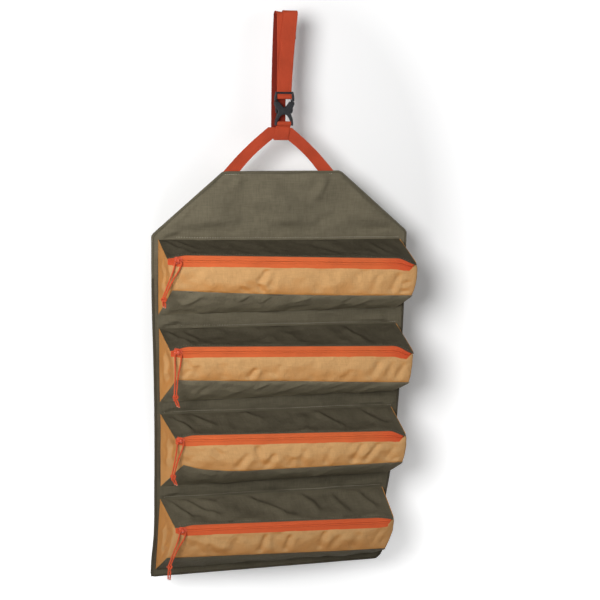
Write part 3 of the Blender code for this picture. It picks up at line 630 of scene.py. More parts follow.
def cord_leg(k, hand):
    """Half of a pull cord's loop, from the top of its arch down into the knot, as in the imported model."""
    hole, (knot_x, knot_z) = HOLES[k], KNOTS[k]
    arch = [hole + (hand * CORD_ARCH * sin(radians(turn)), 0, CORD_ARCH * (cos(radians(turn)) - 1))
            for turn in (0, 30, 60)]
    aside = hand * 1.7
    route = [(hand * CORD_ARCH, -CORD_ARCH), (hand * CORD_ARCH * 0.85 + knot_x * 0.15, knot_z * 0.25),
             (aside * 1.4 + knot_x * 0.55, knot_z * 0.55), (aside + knot_x, knot_z + 4)]
    return np.concatenate([arch, smooth_route([hole + (x, 0, z) for x, z in route], 6)])


def add_cord(k):
    number, hole = k + 1, HOLES[k]
    knot, tail = (hole + (x, 0, z) for x, z in (KNOTS[k], TAILS[k]))
    turns = np.linspace(0, 2 * pi, 64, endpoint=False)
    lean = atan2(TAILS[k][0] - KNOTS[k][0], 30)
    x, y, z = (spots(np.sin(turns) + 2 * np.sin(2 * turns), -0.85 * np.sin(3 * turns),
                     np.cos(turns) - 2 * np.cos(2 * turns)) * (1.4, 1.6, 1.75)).T
    form = Form()
    tube(form, knot + spots(x * cos(lean) + z * sin(lean), y, z * cos(lean) - x * sin(lean)), CORD_RADIUS,
         closed=True)
    tied = form.make(f"cord_knot_{number}", [CORD], "pull_cord")
    ends = Form()
    for hand in (-1, 1):
        aside = np.array((hand * 1.55, 0, 0))
        reach = tail + (0, 0, 1.5 if hand < 0 else 0)
        line = [knot + aside * 0.6, (knot + tail) / 2 + aside * 1.25, reach + aside]
        tube(ends, smooth_route(line, 8), CORD_RADIUS)
        tube(ends, [reach + aside + (0, 0, z) for z in (0.2, -0.5, -1.2, -1.7)], 1.42, 1, ends="far")
    tails = ends.make(f"cord_tails_{number}", [CORD, MELTED], "pull_cord")
    for piece in (tied, tails):
        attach(piece, f"pull_{number}")
    for hand, side in ((-1, "left"), (1, "right")):
        line = even_steps(cord_leg(k, hand), 2.2)
        form = Form()
        tube(form, line, CORD_RADIUS, around=12)
        nodes = [f"pull_cord_{number}"] if hand < 0 else []
        leg = form.make(f"cord_{side}_{number}", [CORD], "pull_cord", *nodes)
        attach(leg, f"pull_{number}")


for index in range(4):
    add_cord(index)


# Back panel and binding

LEFT_EDGE = ((-988, -229), (-952, -227), (-918, -223.5), (-824, -221.5), (-687, -221), (-579, -222.5),
             (-500, -224.5), (-371, -225), (-300, -225))
RIGHT_EDGE = ((-988, 192), (-976, 203), (-960, 204), (-914, 205), (-860, 207), (-835, 211), (-764, 219),
              (-674, 224), (-533, 227), (-371, 227), (-300, 227))
# How far above its hinge each pouch is sewn on, at its left end, its middle and its right end
RISES = ((5.5, 1.2, -0.6), (6.2, 3.8, 1.0), (8.0, 4.6, 1.2), (7.0, 4.8, 2.4))
FLAP_FOLDS = ((-150, -352, -60, -344, 7, 1.2), (-20, -350, 110, -355, 8, 1.3), (120, -338, 190, -362, 7, 1.4),
              (-200, -366, -150, -350, 6, 1.2), (-60, -276, -40, -335, 12, 1.0), (78, -266, 56, -316, 7, 4.2),
              (-76, -266, -84, -296, 7, 3.0), (52, -350, 96, -326, 8, 3.0), (-150, -300, -184, -348, 9, 2.6),
              (120, -300, 164, -348, 9, 2.4), (-60, -298, 60, -300, 11, -2.6), (-56, -282, 50, -284, 10, 2.0))
# The folds above a seam: at its left end, at its right end, and between pouches, with heights above the seam
LEFT_FOLDS = ((-214, 2, -176, 13, 3.5, 2.4), (-212, 12, -150, 8, 4, 2.0))
RIGHT_FOLDS = ((212, 2, 178, 13, 3.5, 2.4), (206, 15, 140, 9, 4, 2.0))
BAND_FOLDS = ((-60, 20, 30, 12, 7, 2.0), (60, 24, 130, 16, 6, 1.8), (-170, 24, -90, 14, 7, 1.8))
# The bodies named for the panel's stretches, of which only the last carries its stretch, and where one piece
# of cloth ends and the next begins
BODIES = ("flap", "section_1", "section_2", "section_3", "section_4")
CUTS = (TOP - 0.8, *[seam - 62 for seam in SEAMS], BOTTOM + 0.8)


def panel_edge(z, hand):
    """The panel's left or right edge, which the photograph shows drawn in towards the foot."""
    z = np.asarray(z, float)
    lower = curve_through(z, LEFT_EDGE if hand < 0 else RIGHT_EDGE)
    slope = TOP_HALF + (HALF_WIDTH - TOP_HALF) * (TOP - z) / (TOP - SHOULDER)
    shoulder = hand * slope + (lower - hand * HALF_WIDTH) * step_up((TOP - z) / 107)
    return np.where(z > SHOULDER, shoulder, lower)


def seam_rise(k, x):
    """How far above its hinge a pouch is sewn on."""
    return curve_through(np.clip(x, -225, 225), list(zip((-205, 0, 205), RISES[k])))


def raised(lines, height):
    return [(u0, height + v0, u1, height + v1, *size) for u0, v0, u1, v1, *size in lines]


def panel_depth(x, z):
    """How far the panel's front lies from its flat place: waves, and a tucked step along each seam."""
    wave = 0.8 * ripples(x, z, 11, 130) + 0.45 * ripples(x, z, 12, 48) + 0.16 * ripples(x, z, 15, 17)
    slack = step_up((z - SEAMS[0] - 14) / 24)
    total = 2.1 * wave - slack * (4.4 * ripples(x, z, 19, 105) + 2.6)
    lines = list(FLAP_FOLDS)
    for k, seam in enumerate(SEAMS):
        above = z - seam - seam_rise(k, x)
        for height, middle, width in ((1.1, 1, 3.5), (-0.8, 7, 4.0), (0.5, 13, 4.0)):
            total = total + height * np.exp(-((above - middle) / width) ** 2)
        lines += raised(LEFT_FOLDS, seam + float(seam_rise(k, -200)))
        lines += raised(RIGHT_FOLDS, seam + float(seam_rise(k, 200)))
        if k:
            lines += raised(BAND_FOLDS, seam)
    return total - folds(x, z, lines)


def hang(piece, index):
    """A piece on the panel's last stretch rides that stretch; any other piece has its place baked into its
    points.
    """
    if index == len(SEAMS):
        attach(piece, BODIES[index])
        return
    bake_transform(piece)


def add_panel(index, high, low):
    """A stretch of the panel with its stitching, from one height to another."""
    heights = np.linspace(high, low, max(8, round((high - low) / 4)) + 1)
    left, right = panel_edge(heights, -1) + 0.9, panel_edge(heights, 1) - 0.9
    x = left[:, None] + np.linspace(0, 1, 113)[None, :] * (right - left)[:, None]
    z = np.broadcast_to(heights[:, None], x.shape)
    margin = np.minimum(np.minimum(x - left[:, None], right[:, None] - x), np.minimum(TOP - z, z - BOTTOM))
    held = step_up((margin - 3) / 10)
    back = spots(x, PANEL_BACK - 0.5 + 0.35 * ripples(x, z, 13, 70) * held, z)
    front = spots(x, PANEL_FRONT + panel_depth(x, z) * held, z)
    form = Form()
    slab(form, front, back=back, places=np.stack([x, -z], axis=2))
    if index < len(SEAMS):
        seam = SEAMS[index]
        x_end = float(panel_edge(seam, 1))
        x = np.linspace(-206, x_end - 14, 150)
        z = seam + 2.6 + seam_rise(index, x)
        stitches(form, spots(x, PANEL_FRONT + panel_depth(x, z), z), TO_FRONT, 4.4, 1.7, 0.46)
        x = np.linspace(-214, min(214, x_end - 8), 90)
        stitches(form, spots(x, PANEL_BACK - 0.2, seam + 3.0), (0, 1, 0), 3.4, 2.5, 0.4)
    if index == 0:
        # Bartacks hold the handle's feet inside the hem
        y = PANEL_FRONT - 0.2
        for x_low, x_high in ((-101, -75), (62, 88)):
            for drop in (5.2, 6.4):
                row = np.linspace((x_low, y, TOP - drop), (x_high, y, TOP - drop + 0.6), 12)
                stitches(form, row, TO_FRONT, 2.9, 1.9, 0.42)
    name, node = (f"panel_{index}", f"back_{index}") if index else ("panel_flap", "flap")
    piece = form.make(name, [OLIVE, THREAD], "olive_cloth", node)
    hang(piece, index)


for index in range(5):
    add_panel(index, CUTS[index], CUTS[index + 1])

# Across the edge and back, as (inwards, depth)
BINDING_PROFILE = [(4.2, -5.05), (4.2, -5.5), (2.8, -5.75), (1.2, -5.7), (0.2, -5.2), (-0.2, -4.2),
                   (-0.25, -3.0), (-0.2, -1.8), (0.2, -0.75), (1.4, -0.25), (4.5, -0.2), (8.0, -0.45),
                   (8.0, -1.1), (5.0, -0.95), (1.6, -0.98), (0.9, -1.6), (0.7, -3.0), (0.9, -4.4),
                   (1.6, -4.95), (3.0, -5.0)]


def add_binding(name, path, index, node, material=BINDING):
    """Tape folded over the panel's edge along a path in X and Z, with its stitch line."""
    path = even_steps(path, 6.0)
    way = tangents(path)
    inward = np.stack([way[:, 1], -way[:, 0]], axis=1)
    bends = 1 / np.maximum(np.sum(inward * unit(np.roll(inward, 1, axis=0) + inward), axis=1), 0.8)
    sides = spots(inward[:, 0], 0, inward[:, 1]) * bends[:, None]
    line = spots(path[:, 0], 0.25 * ripples(path[:, 0], path[:, 1], 31, 30), path[:, 1])
    form = Form()
    sweep(form, line, sides, np.broadcast_to([0.0, 1.0, 0.0], line.shape), BINDING_PROFILE)
    for inset, depth, face in ((3.3, -5.72, -1), (6.4, -0.25, 1)):
        stitches(form, line + sides * inset + (0, depth, 0), (0, face, 0), 3.2, 2.3, 0.3)
    hang(form.make(name, [material, DARK_THREAD], "binding_tape", node, sharp=50), index)


def edge_spot(z, hand):
    return float(panel_edge(z, hand)), float(z)


def edge_path(first, last, hand):
    """An edge of the panel from one height to another, in the order given."""
    return [edge_spot(z, hand) for z in np.linspace(first, last, max(6, round(abs(last - first) / 8)))]


def rounded(path, radius, corners):
    """A path whose corners, given by their places in it, are rounded."""
    line = []
    for i, spot in enumerate(path):
        spot = np.array(spot, float)
        if i in corners:
            before = spot + unit(np.array(path[i - 1], float) - spot) * radius
            after = spot + unit(np.array(path[i + 1], float) - spot) * radius
            for t in np.linspace(0, 1, 6):
                line.append((1 - t) ** 2 * before + 2 * t * (1 - t) * spot + t ** 2 * after)
        else:
            line.append(spot)
    return line


rim = edge_path(CUTS[1], SHOULDER - 4, -1)
over_top = [*rim, edge_spot(SHOULDER, -1), (-TOP_HALF, TOP), (TOP_HALF, TOP), edge_spot(SHOULDER, 1),
            *edge_path(SHOULDER - 4, CUTS[1], 1)]
over_top = rounded(over_top, 3.5, range(len(rim), len(rim) + 4))
add_binding("binding_flap", over_top, 0, "flap_binding", FLAP_BINDING)
for index in (1, 2, 3):
    for hand, side in ((-1, "left"), (1, "right")):
        name = f"binding_{side}_{index}"
        first, last = (CUTS[index + 1], CUTS[index])[::-hand]
        add_binding(name, edge_path(first, last, hand), index, name)
rim = edge_path(CUTS[4], BOTTOM + 8, 1)
foot = [*rim, edge_spot(BOTTOM, 1), edge_spot(BOTTOM, -1), *edge_path(BOTTOM + 8, CUTS[4], -1)]
add_binding("binding_foot", rounded(foot, 5, (len(rim), len(rim) + 1)), 4, "binding_foot")


# Pouches

# The tape's right end is cut slanting: how far inside the corner its top and its bottom end
CUT = (4.5, 12.5)
FRONT_LIMIT = 70.2
# The grids' rows, and the columns of a gusset and of the front between the two
ROWS = 26
GUSSET = 26
FRONT_COLUMNS = 160
GUSSET_FOLDS = ((66, 10, 14, 46, 5, 1.6), (64, 62, 10, 70, 6, 1.5), (34, 12, 24, 84, 5, 2.0))
# Across a tape, each with its lift: shares of its width, then its half of the coil, from the slit
TAPE = ((1.0, 0.0), (0.7, 0.05), (0.5, 0.02), (0.40, 0.0))
COIL = ((3.5, 0.05), (3.2, 0.3), (2.6, 0.62), (1.7, 0.75), (0.8, 0.7), (0.35, 0.5), (0.16, 0.15),
        (0.16, -0.7))


class Pouch:
    """The edges of a pouch as the photograph shows them, in X and in drop from its seam.

    backs and creases are its ends at the panel, at the seam and at the foot; zips and toes are those of its
    front, at the top and at the bottom. swell is how far the right corner bulges, and tuck is how far the toe
    stands behind the zip.
    """

    def __init__(self, k, backs, zips, toes, creases, middle, droops, foot, swell, tuck, lid_lines,
                 front_lines, floor_lines):
        self.k, self.number, self.seam = k, k + 1, SEAMS[k]
        self.backs, self.zips, self.toes, self.creases = backs, zips, toes, creases
        self.middle, self.droops, self.foot_knots, self.swell, self.tuck = middle, droops, foot, swell, tuck
        self.lid_lines, self.front_lines, self.floor_lines = lid_lines, front_lines, floor_lines

    def zip_line(self, x):
        left, right = self.zips
        ends = (self.droops[0] * step_up((left + 14 - x) / 14)
                + self.droops[1] * step_up((x - 186) / (right - 184)))
        return self.middle + ZIP_SLOPE * x + ends

    def at_ends(self, x, left, right):
        """How much a tape narrows towards its left and its right end, each (millimetres, reach)."""
        return (left[0] * step_up((self.zips[0] + left[1] - x) / left[1])
                + right[0] * step_up((x - self.zips[1] + right[1]) / right[1]))

    def zip_top(self, x):
        return self.zip_line(x) - 10 + self.at_ends(x, (6, 34), (3.5, 34))

    def zip_foot(self, x):
        return self.zip_line(x) + 10 - self.at_ends(x, (3.5, 24), (3, 30))

    def foot(self, x):
        return curve_through(x, self.foot_knots)

    def add_sheet(self, form, name, materials, slot, size, area=None):
        """Make a sheet of the pouch, sewn to the panel behind it."""
        piece = form.make(f"pouch_{name}_{self.number}", materials, slot, f"{name}_{self.number}")
        if name == "floor":
            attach(piece, f"section_{self.number}")
        else:
            # What is sewn above the hinge only has its place baked into its points
            hang(piece, self.k)


def shares(columns):
    """How far across and how far down a grid's points lie, from 0 to 1."""
    return np.linspace(0, 1, columns + 1)[None, :], np.linspace(0, 1, ROWS + 1)[:, None]


def spread(near, far, across, down):
    """X over a grid whose left and right ends go from near to far."""
    left, right = (between(near[i], far[i], down) for i in (0, 1))
    return between(left, right, across)


def drawn_in(ends, step):
    """Two ends, each moved inwards by a step."""
    return ends[0] + step, ends[1] - step


def add_lid(pouch):
    across, down = shares(150)
    depth = 0.3 + 67.9 * down
    x = spread(pouch.backs, drawn_in(pouch.zips, 1.0), across, down)
    back = 1.0 - seam_rise(pouch.k, x)
    drop = between(back, pouch.zip_top(x), down) + 3.5 * np.sin(pi * down) * plateau(across, 0.12)
    height = creased(x, depth, 100 + pouch.k, (1.1, 75), (0.5, 28), pouch.lid_lines)
    drop = drop - 1.7 * height * plateau(down, 0.12) * plateau(across, 0.03)
    grid = spots(x, PANEL_FRONT - depth, pouch.seam - drop)
    # The front edge turns down over the zip tape as a hem
    hem = [grid[-1] + (0, y, z) for y, z in ((-0.7, -0.2), (-0.95, -0.9), (-0.8, -1.6))]
    grid = np.concatenate([grid, np.stack(hem)])
    form = Form()
    slab(form, grid)
    stitches(form, grid[-5, 3:-3] + (0, 0, 0.05), outward(grid)[-5, 3:-3], 4.4, 1.6, 0.34)
    pouch.add_sheet(form, "lid", [DARK, HEM_THREAD], "dark_olive_cloth", (430, 72))


def gusset_grid(pouch, front, end, down):
    """One end of a pouch, from the panel to the front's own end."""
    side, bulge, power = ((-1, -2.6, 1.0), (1, 5.0, 0.8))[end]
    across = np.linspace(0, 1, GUSSET, endpoint=False)[None, :]
    y, rise = PANEL_FRONT - 0.35, float(seam_rise(pouch.k, pouch.backs[end]))
    back_top = np.array((pouch.backs[end], y, pouch.seam - 1.6 + rise))
    back = between(back_top, np.array((pouch.creases[end], y, pouch.seam - 125.2)), down)
    grid = back[:, None] + (front[:, -end] - back)[:, None] * across[:, :, None]
    dent = np.sin(pi * across) * np.sin(pi * down) ** power
    u, v = across * 68, down * 100
    relief = 1.7 * folds(u, v, GUSSET_FOLDS) + 1.5 * (0.9 * ripples(u, v, 220 + pouch.k + end, 30))
    grid[:, :, 0] += side * (bulge * dent + relief * dent ** 0.7)
    return grid


def front_grid(pouch):
    """The tan cloth: the left end, the front and the right end, as one wrapped sheet."""
    across, down = shares(FRONT_COLUMNS)
    left, right = pouch.zips
    # The tape ends inside both corners, so the cloth rises beside it there
    x = between(left, right, across)
    lift = np.maximum(step_up((left + 5 - x) / 4), np.clip((x - right + CUT[1]) / (CUT[1] - CUT[0]), 0, 1))
    top = pouch.zip_foot(x) + 0.3 - lift * (pouch.zip_foot(x) - pouch.zip_top(x) - 1.2)
    drop = between(top, pouch.foot(between(*pouch.toes, across)), down)
    x = spread(pouch.zips, pouch.toes, across, down)
    x = x + pouch.swell * np.sin(pi * down ** 0.8) * step_up((across - 0.86) / 0.14)
    window = step_up((x - left - 18) / 60) * step_up((right - 18 - x) / 60)
    depth = 68.0 - pouch.tuck * down + (3.2 * window + 0.8) * np.sin(pi * down) ** 0.9
    depth = depth - 1.6 * step_up((down - 0.93) / 0.07)
    height = creased(x, down * 50, 200 + pouch.k, (1.0, 60), (0.6, 24), pouch.front_lines, -1.5)
    depth = depth + height * plateau(down, 0.12, 0.06) * (0.5 + 0.5 * window)
    # Beside the tape's slanting end the cloth stands in front of it
    depth = depth + 1.1 * lift * step_up((x - 100) / 60) * step_up((0.3 - down) / 0.2)
    # The cord slides past in front, so no crest stands further out than this
    depth = FRONT_LIMIT - 0.7 * np.log1p(np.exp((FRONT_LIMIT - depth) / 0.7))
    front = spots(x, PANEL_FRONT - depth, pouch.seam - drop)
    ends = [gusset_grid(pouch, front, end, down) for end in (0, 1)]
    whole = np.concatenate([ends[0], front, ends[1][:, ::-1]], axis=1)
    # Both corners turn softly
    for corner in (GUSSET, GUSSET + FRONT_COLUMNS):
        near = np.exp(-((np.arange(whole.shape[1]) - corner) / 3.0) ** 2)[None, :, None] * 0.5
        near[:, [0, -1]] = 0
        for _ in range(7):
            mean = whole.copy()
            mean[:, 1:-1] = (whole[:, :-2] + whole[:, 2:]) / 2
            whole = whole + near * (mean - whole)
    return whole


def add_front(pouch):
    grid = front_grid(pouch)
    form = Form()
    slab(form, grid)
    # Piping along the lid's two ends, and near-black lines of painted shade in the seams at the panel and
    # along the foot
    for edge, radius in ((grid[0, :GUSSET + 1], 0.75), (grid[0, -GUSSET - 1:], 0.8)):
        tube(form, edge + (0, 0, 0.6 * radius), radius, 1, around=8, ends="both")
    for edge in (grid[:, 0], grid[:, -1], grid[-1, GUSSET - 2:2 - GUSSET] + (0, 0.2, -0.5)):
        tube(form, edge, 0.5, 2, around=8, ends="both")
    area = 0.5 * 570 * 125 * MM * MM
    pouch.add_sheet(form, "front", [TAN, PIPING, SEAM_SHADE], "tan_cloth", (570, 125), area)


def add_floor(pouch):
    across, down = shares(150)
    x = spread(drawn_in(pouch.toes, 0.6), drawn_in(pouch.creases, 0.6), across, down)
    drop = between(pouch.foot(x) - 0.6, 126, down)
    drop = drop + (4.0 * np.sin(pi * down ** 0.8)) * (0.3 + 0.7 * plateau(across, 0.1))
    height = creased(x, down * 75, 300 + pouch.k, (1.3, 70), (0.6, 26), pouch.floor_lines)
    drop = drop + height * plateau(down, 0.06, 0.1) * plateau(across, 0.03)
    depth = (68.0 - pouch.tuck) * (1 - down) + 0.35 * down + 1.0 * np.sin(pi * np.clip(down / 0.25, 0, 1))
    form = Form()
    slab(form, spots(x, PANEL_FRONT - depth, pouch.seam - drop))
    pouch.add_sheet(form, "floor", [LIT_UNDERSIDE_CLOTH], "dark_olive_cloth", (425, 75))


def add_zip(pouch, half, hand):
    """A tape with its half of the covered coil: the tape rises over the coil and turns in at the slit."""
    left, corner = pouch.zips[0] + 2.0, pouch.zips[1]
    # Past the slider's furthest place the tape turns away
    bend_from = max(corner - 26, 196)
    rows = []
    for i, (reach, lift) in enumerate(TAPE + COIL):
        on_tape = i < len(TAPE)
        # The end's slant puts a row's last point further in, the lower it lies
        level = 0.5 + hand * (0.5 * reach if on_tape else reach / 20)
        end = corner - CUT[0] - (CUT[1] - CUT[0]) * level + 0.8
        x = between(left, end, np.linspace(0, 1, 171))
        middle = pouch.zip_line(x)
        edge = pouch.zip_top(x) + 0.5 if hand < 0 else pouch.zip_foot(x) + 1.2
        aside = np.abs(edge - middle) * reach if on_tape else reach
        turned = 2.2 * np.clip((x - bend_from) / (corner - bend_from), 0, 1) ** 2
        rows.append(spots(x, TAPE_Y - 0.4 - lift + turned, pouch.seam - middle - hand * aside))
    form = Form()
    slab(form, np.stack(rows[::-hand]), thickness=0.8)
    x = np.linspace(left + 2, corner - CUT[1] - 16, 120)
    seam = spots(x, TAPE_Y - 0.45, pouch.seam - pouch.zip_line(x) - hand * 4.3)
    stitches(form, seam, TO_FRONT, 2.4, 1.8, 0.22)
    name = f"{half}_{pouch.number}"
    piece = form.make(f"zip_tape_{name}", [ZIP, ZIP_THREAD], "zip_tape", f"zip_{name}", sharp=60)
    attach(piece, f"section_{pouch.number}")


# Each pouch's folds lie on its lid, on its front and on its underside
POUCHES = [
    Pouch(0, (-214, 214), (-209, 225), (-199, 222), (-214, 213), 26, (0, 8),
          ((-199, 72.5), (-110, 79), (-24, 84), (110, 90), (223, 93)), 5.0, 8.0,
          [(-206, 6, -170, 58, 5, 2.0), (-190, 4, -150, 40, 6, 1.4), (150, 14, 190, 60, 7, 1.6),
           (60, 20, 90, 60, 8, 1.2)],
          [(-37, 4, -53, 28, 5, 2.2), (-53, 30, -43, 48, 5, 2.0), (-20, 8, -36, 40, 7, 1.2),
           (-84, 36, -70, 47, 4, 1.3), (-150, 6, -160, 30, 8, 1.0), (60, 10, 50, 44, 9, 0.9),
           (120, 8, 112, 44, 8, 0.9), (158, 10, 146, 46, 6, 1.4), (197, 6, 182, 46, 6, 2.8),
           (216, 22, 198, 30, 4, 2.4), (214, 40, 196, 42, 4, 2.0), (-190, 10, -178, 40, 6, 1.2)],
          [(-70, 4, -84, 26, 4, 2.2), (-30, 6, -46, 26, 4, 2.2), (40, 4, 12, 24, 4, 2.4),
           (110, 6, 96, 24, 4, 1.6), (-150, 10, -178, 40, 6, 2.4), (150, 10, 120, 50, 6, 1.8)]),
    Pouch(1, (-213, 213), (-204, 226), (-192, 223), (-212, 213), 26, (1, 11),
          ((-192, 72), (-110, 77), (-4, 82), (110, 89), (223, 95)), 1.5, 8.0,
          [(-202, 6, -168, 58, 5, 2.0), (-176, 8, -150, 44, 6, 1.4), (110, 10, 150, 60, 7, 2.0),
           (0, 20, 40, 60, 9, 1.2)],
          [(-176, 4, -168, 24, 5, 1.8), (-168, 24, -184, 46, 5, 2.0), (-150, 6, -160, 40, 7, 1.2),
           (-104, 10, -112, 44, 9, 1.0), (-54, 22, -68, 46, 5, 2.6), (-10, 14, -24, 40, 7, 1.4),
           (50, 8, 40, 44, 9, 1.0), (116, 24, 96, 48, 7, 1.4), (166, 10, 148, 46, 7, 1.8),
           (192, 8, 176, 46, 6, 1.6), (214, 6, 196, 46, 5, 2.4)],
          [(-30, 4, -52, 26, 4, 2.6), (34, 6, 6, 26, 4, 2.4), (96, 10, 76, 30, 5, 1.6),
           (-140, 12, -160, 44, 6, 2.0), (170, 12, 140, 50, 6, 2.0)]),
    Pouch(2, (-211, 209), (-196, 218), (-180, 216.5), (-211, 208), 26, (-1, 7),
          ((-180, 68), (-150, 77), (-110, 83), (-1, 86), (120, 87), (217, 87.5)), 3.5, 8.0,
          [(-196, 8, -160, 58, 5, 2.4), (-160, 4, -120, 40, 6, 1.8), (-70, 6, -30, 30, 7, 1.6),
           (60, 6, 110, 50, 7, 2.4), (150, 10, 190, 50, 7, 2.0)],
          [(-140, 4, -146, 16, 6, 1.4), (-128, 4, -112, 22, 6, 1.6), (-66, 16, -88, 48, 6.5, 2.6),
           (-52, 2, -42, 40, 6, 1.8), (-18, 18, -38, 46, 6, 2.2), (16, 26, 6, 48, 6, 1.8),
           (36, 10, 24, 40, 7, 1.6), (82, 6, 72, 46, 6.5, 2.0), (140, 2, 122, 46, 6.5, 2.8),
           (171, 2, 140, 46, 6.5, 2.6), (200, 8, 182, 44, 6, 2.0), (206, 34, 192, 46, 4, 1.6),
           (-160, 20, -172, 46, 6, 1.4)],
          [(-150, 4, -120, 16, 5, 2.0), (-20, 8, 40, 16, 6, 1.6), (90, 8, 60, 40, 6, 1.8),
           (180, 8, 140, 40, 6, 1.8)]),
    Pouch(3, (-212, 198), (-196, 201), (-208, 192), (-220, 192), 33, (-2, 1),
          ((-208, 84), (-110, 88), (2, 92), (110, 96.5), (191, 98.5)), 5.0, 15.0,
          [(-200, 6, -160, 50, 5, 2.6), (-176, 4, -106, 52, 6, 3.0), (-150, 2, -110, 20, 6, 2.0),
           (-60, 4, 10, 50, 8, 2.4), (40, 4, 70, 50, 8, 2.6), (96, 6, 120, 54, 8, 2.4),
           (150, 10, 176, 50, 7, 2.4), (-20, 30, 20, 60, 8, 1.6)],
          [(-160, 12, -142, 44, 7, 1.6), (-178, 8, -160, 30, 6, 1.4), (-138, 18, -120, 46, 7, 1.2),
           (-84, 8, -92, 46, 9, 1.2), (-33, 4, -41, 46, 5.5, 2.8), (12, 6, 4, 46, 5.5, 2.6),
           (75, 2, 67, 44, 6, 2.8), (104, 10, 80, 46, 8, 1.6), (140, 8, 124, 46, 8, 1.4),
           (177, 6, 160, 44, 6, 1.8), (192, 10, 182, 40, 4, 1.4)],
          [(-100, 8, -60, 30, 6, 1.8), (60, 8, 100, 30, 6, 1.6), (-20, 10, 10, 40, 7, 1.6)]),
]

for pouch in POUCHES:
    add_lid(pouch)
    add_front(pouch)
    add_floor(pouch)
    add_zip(pouch, "upper", -1)
    add_zip(pouch, "lower", 1)


# Rounded plates, for the buckle and the sliders

def add_plate(form, outline, thickness, rounding, place):
    """A closed outline in X and Z as a plate about a place, its edges rounded."""
    curve = bpy.data.curves.new("outline", "CURVE")
    curve.dimensions = "2D"
    curve.fill_mode = "BOTH"
    curve.extrude = thickness / 2 - rounding
    curve.bevel_depth = rounding
    curve.bevel_resolution = 3
    curve.offset = -rounding
    spline = curve.splines.new("POLY")
    spline.points.add(len(outline) - 1)
    for knot, (x, z) in zip(spline.points, outline):
        knot.co = (x, z, 0, 1)
    spline.use_cyclic_u = True
    guide = add_object("guide", curve)
    bpy.context.view_layer.update()
    mesh = bpy.data.meshes.new_from_object(guide.evaluated_get(bpy.context.evaluated_depsgraph_get()))
    bpy.data.objects.remove(guide)
    body = bmesh.new()
    body.from_mesh(mesh)
    bmesh.ops.remove_doubles(body, verts=body.verts, dist=0.001)
    points = np.array([(v.co.x, v.co.z, v.co.y) for v in body.verts]) + np.array(place, float)
    faces = [tuple(v.index for v in face.verts) for face in body.faces]
    body.free()
    bpy.data.meshes.remove(mesh)
    form.add(points, faces, points[:, [0, 2]])


def mirrored(points):
    return [(-x, z) for x, z in reversed(points)]


def both_halves(points):
    """A closed outline from its right half, whose ends lie in the middle."""
    return points + mirrored(points)[1:-1]


def add_slider(k):
    """Two plates that hold the coils, their neck, and the crown that the cord goes through."""
    middle = HOLES[k] + (0, 4.6, 0)
    shape = [(-6.6, -4.0), (-6.0, -5.4), (-3.8, -6.0), (0.6, -5.6), (5.2, -4.4), (6.9, -2.8), (7.4, 0.0),
             (6.9, 2.8), (5.2, 4.4), (0.6, 5.6), (-3.8, 6.0), (-6.0, 5.4), (-6.6, 4.0), (-6.2, 0.0)]
    shape = [(x, z - ZIP_SLOPE * x) for x, z in shape]
    neck = [(1.2, -0.45), (4.6, -0.45), (4.6, 0.45), (1.2, 0.45)]
    form = Form()
    add_plate(form, shape, 1.3, 0.5, middle + (0, -2.05, 0))
    add_plate(form, shape, 1.2, 0.45, middle + (0, 2.0, 0))
    add_plate(form, neck, 3.6, 0.1, middle)
    for hand in (-1, 1):
        x = np.array((-5.6, -3, 0, 3, 5.6))
        rib = spots(x, -2.9, hand * 4.4 - ZIP_SLOPE * x * 0.9 - hand * 0.14 * (x + 5))
        tube(form, middle + rib, 0.5, around=8, ends="both")
    arch = [(-1.9, -2.7), (-3.6, -2.9), (-5.6, -2.75), (-6.6, -2.1), (-7.25, -1.0), (-7.4, 0.0), (-7.25, 1.0),
            (-6.6, 2.1), (-5.6, 2.75), (-3.6, 2.9), (-1.9, 2.7)]
    line = smooth_route([middle + (0, y, z) for y, z in arch], 3)
    across = np.broadcast_to([1.0, 0.0, 0.0], line.shape)
    sweep(form, line, across, unit(np.cross(tangents(line), across)), ring(12, 2.0, 0.66))
    piece = form.make(f"zip_slider_{k + 1}", [METAL], "zip_slider", f"slider_{k + 1}")
    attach(piece, f"slider_{k + 1}")


for index in range(4):
    add_slider(index)


# Webbing: strap, tab and handle

WEBBING_THICKNESS = 1.3
# The bars that the webbing goes round, and the middles of its bends, in Y and Z
CENTRE_BAR = (-6.3, -139.2)
OUTER_BAR = (-7.9, -131.9)
TAB_BAR = (-6.3, -183.0)
TAB_BAR_RADIUS = 1.9
WRAP = 2.65
INNER_CREST = 3.65
OUTER_CREST = 5.25
CREST_Z = -3.0
HANDLE_Y = -3.0
HANDLE_TOP = -189.7
HANDLE_UNDERSIDE = -209.7
HANDLE_WIDTH = 19.5
HANDLE_BOW = 2.9
# Where the tab's lower end lies in X, and how far its two layers lie from the handle's middle
TAB_X = -4.2
TAB_LAYER = 1.6


def webbing_profile(width):
    """A flat strip with soft, slightly thicker edges."""
    half, t = width / 2, WEBBING_THICKNESS / 2
    edge = [(-half, 0), (-half + 0.15, 0.75 * t), (-half + 0.6, 1.12 * t), (-half + 1.6, 1.02 * t)]
    top = edge + [(x, t) for x in np.linspace(-half + 3, half - 3, 7)] + [(-x, y) for x, y in reversed(edge)]
    return top + [(x, -y) for x, y in reversed(top)][1:-1]


def strap(form, line, width, finish=0, closed=False):
    """Webbing along a line, its width along X."""
    way = tangents(line, closed)
    across = np.broadcast_to([1.0, 0.0, 0.0], way.shape)
    across = unit(across - way * np.sum(way * across, axis=1, keepdims=True))
    sweep(form, line, across, np.cross(across, way), webbing_profile(width), finish, closed)


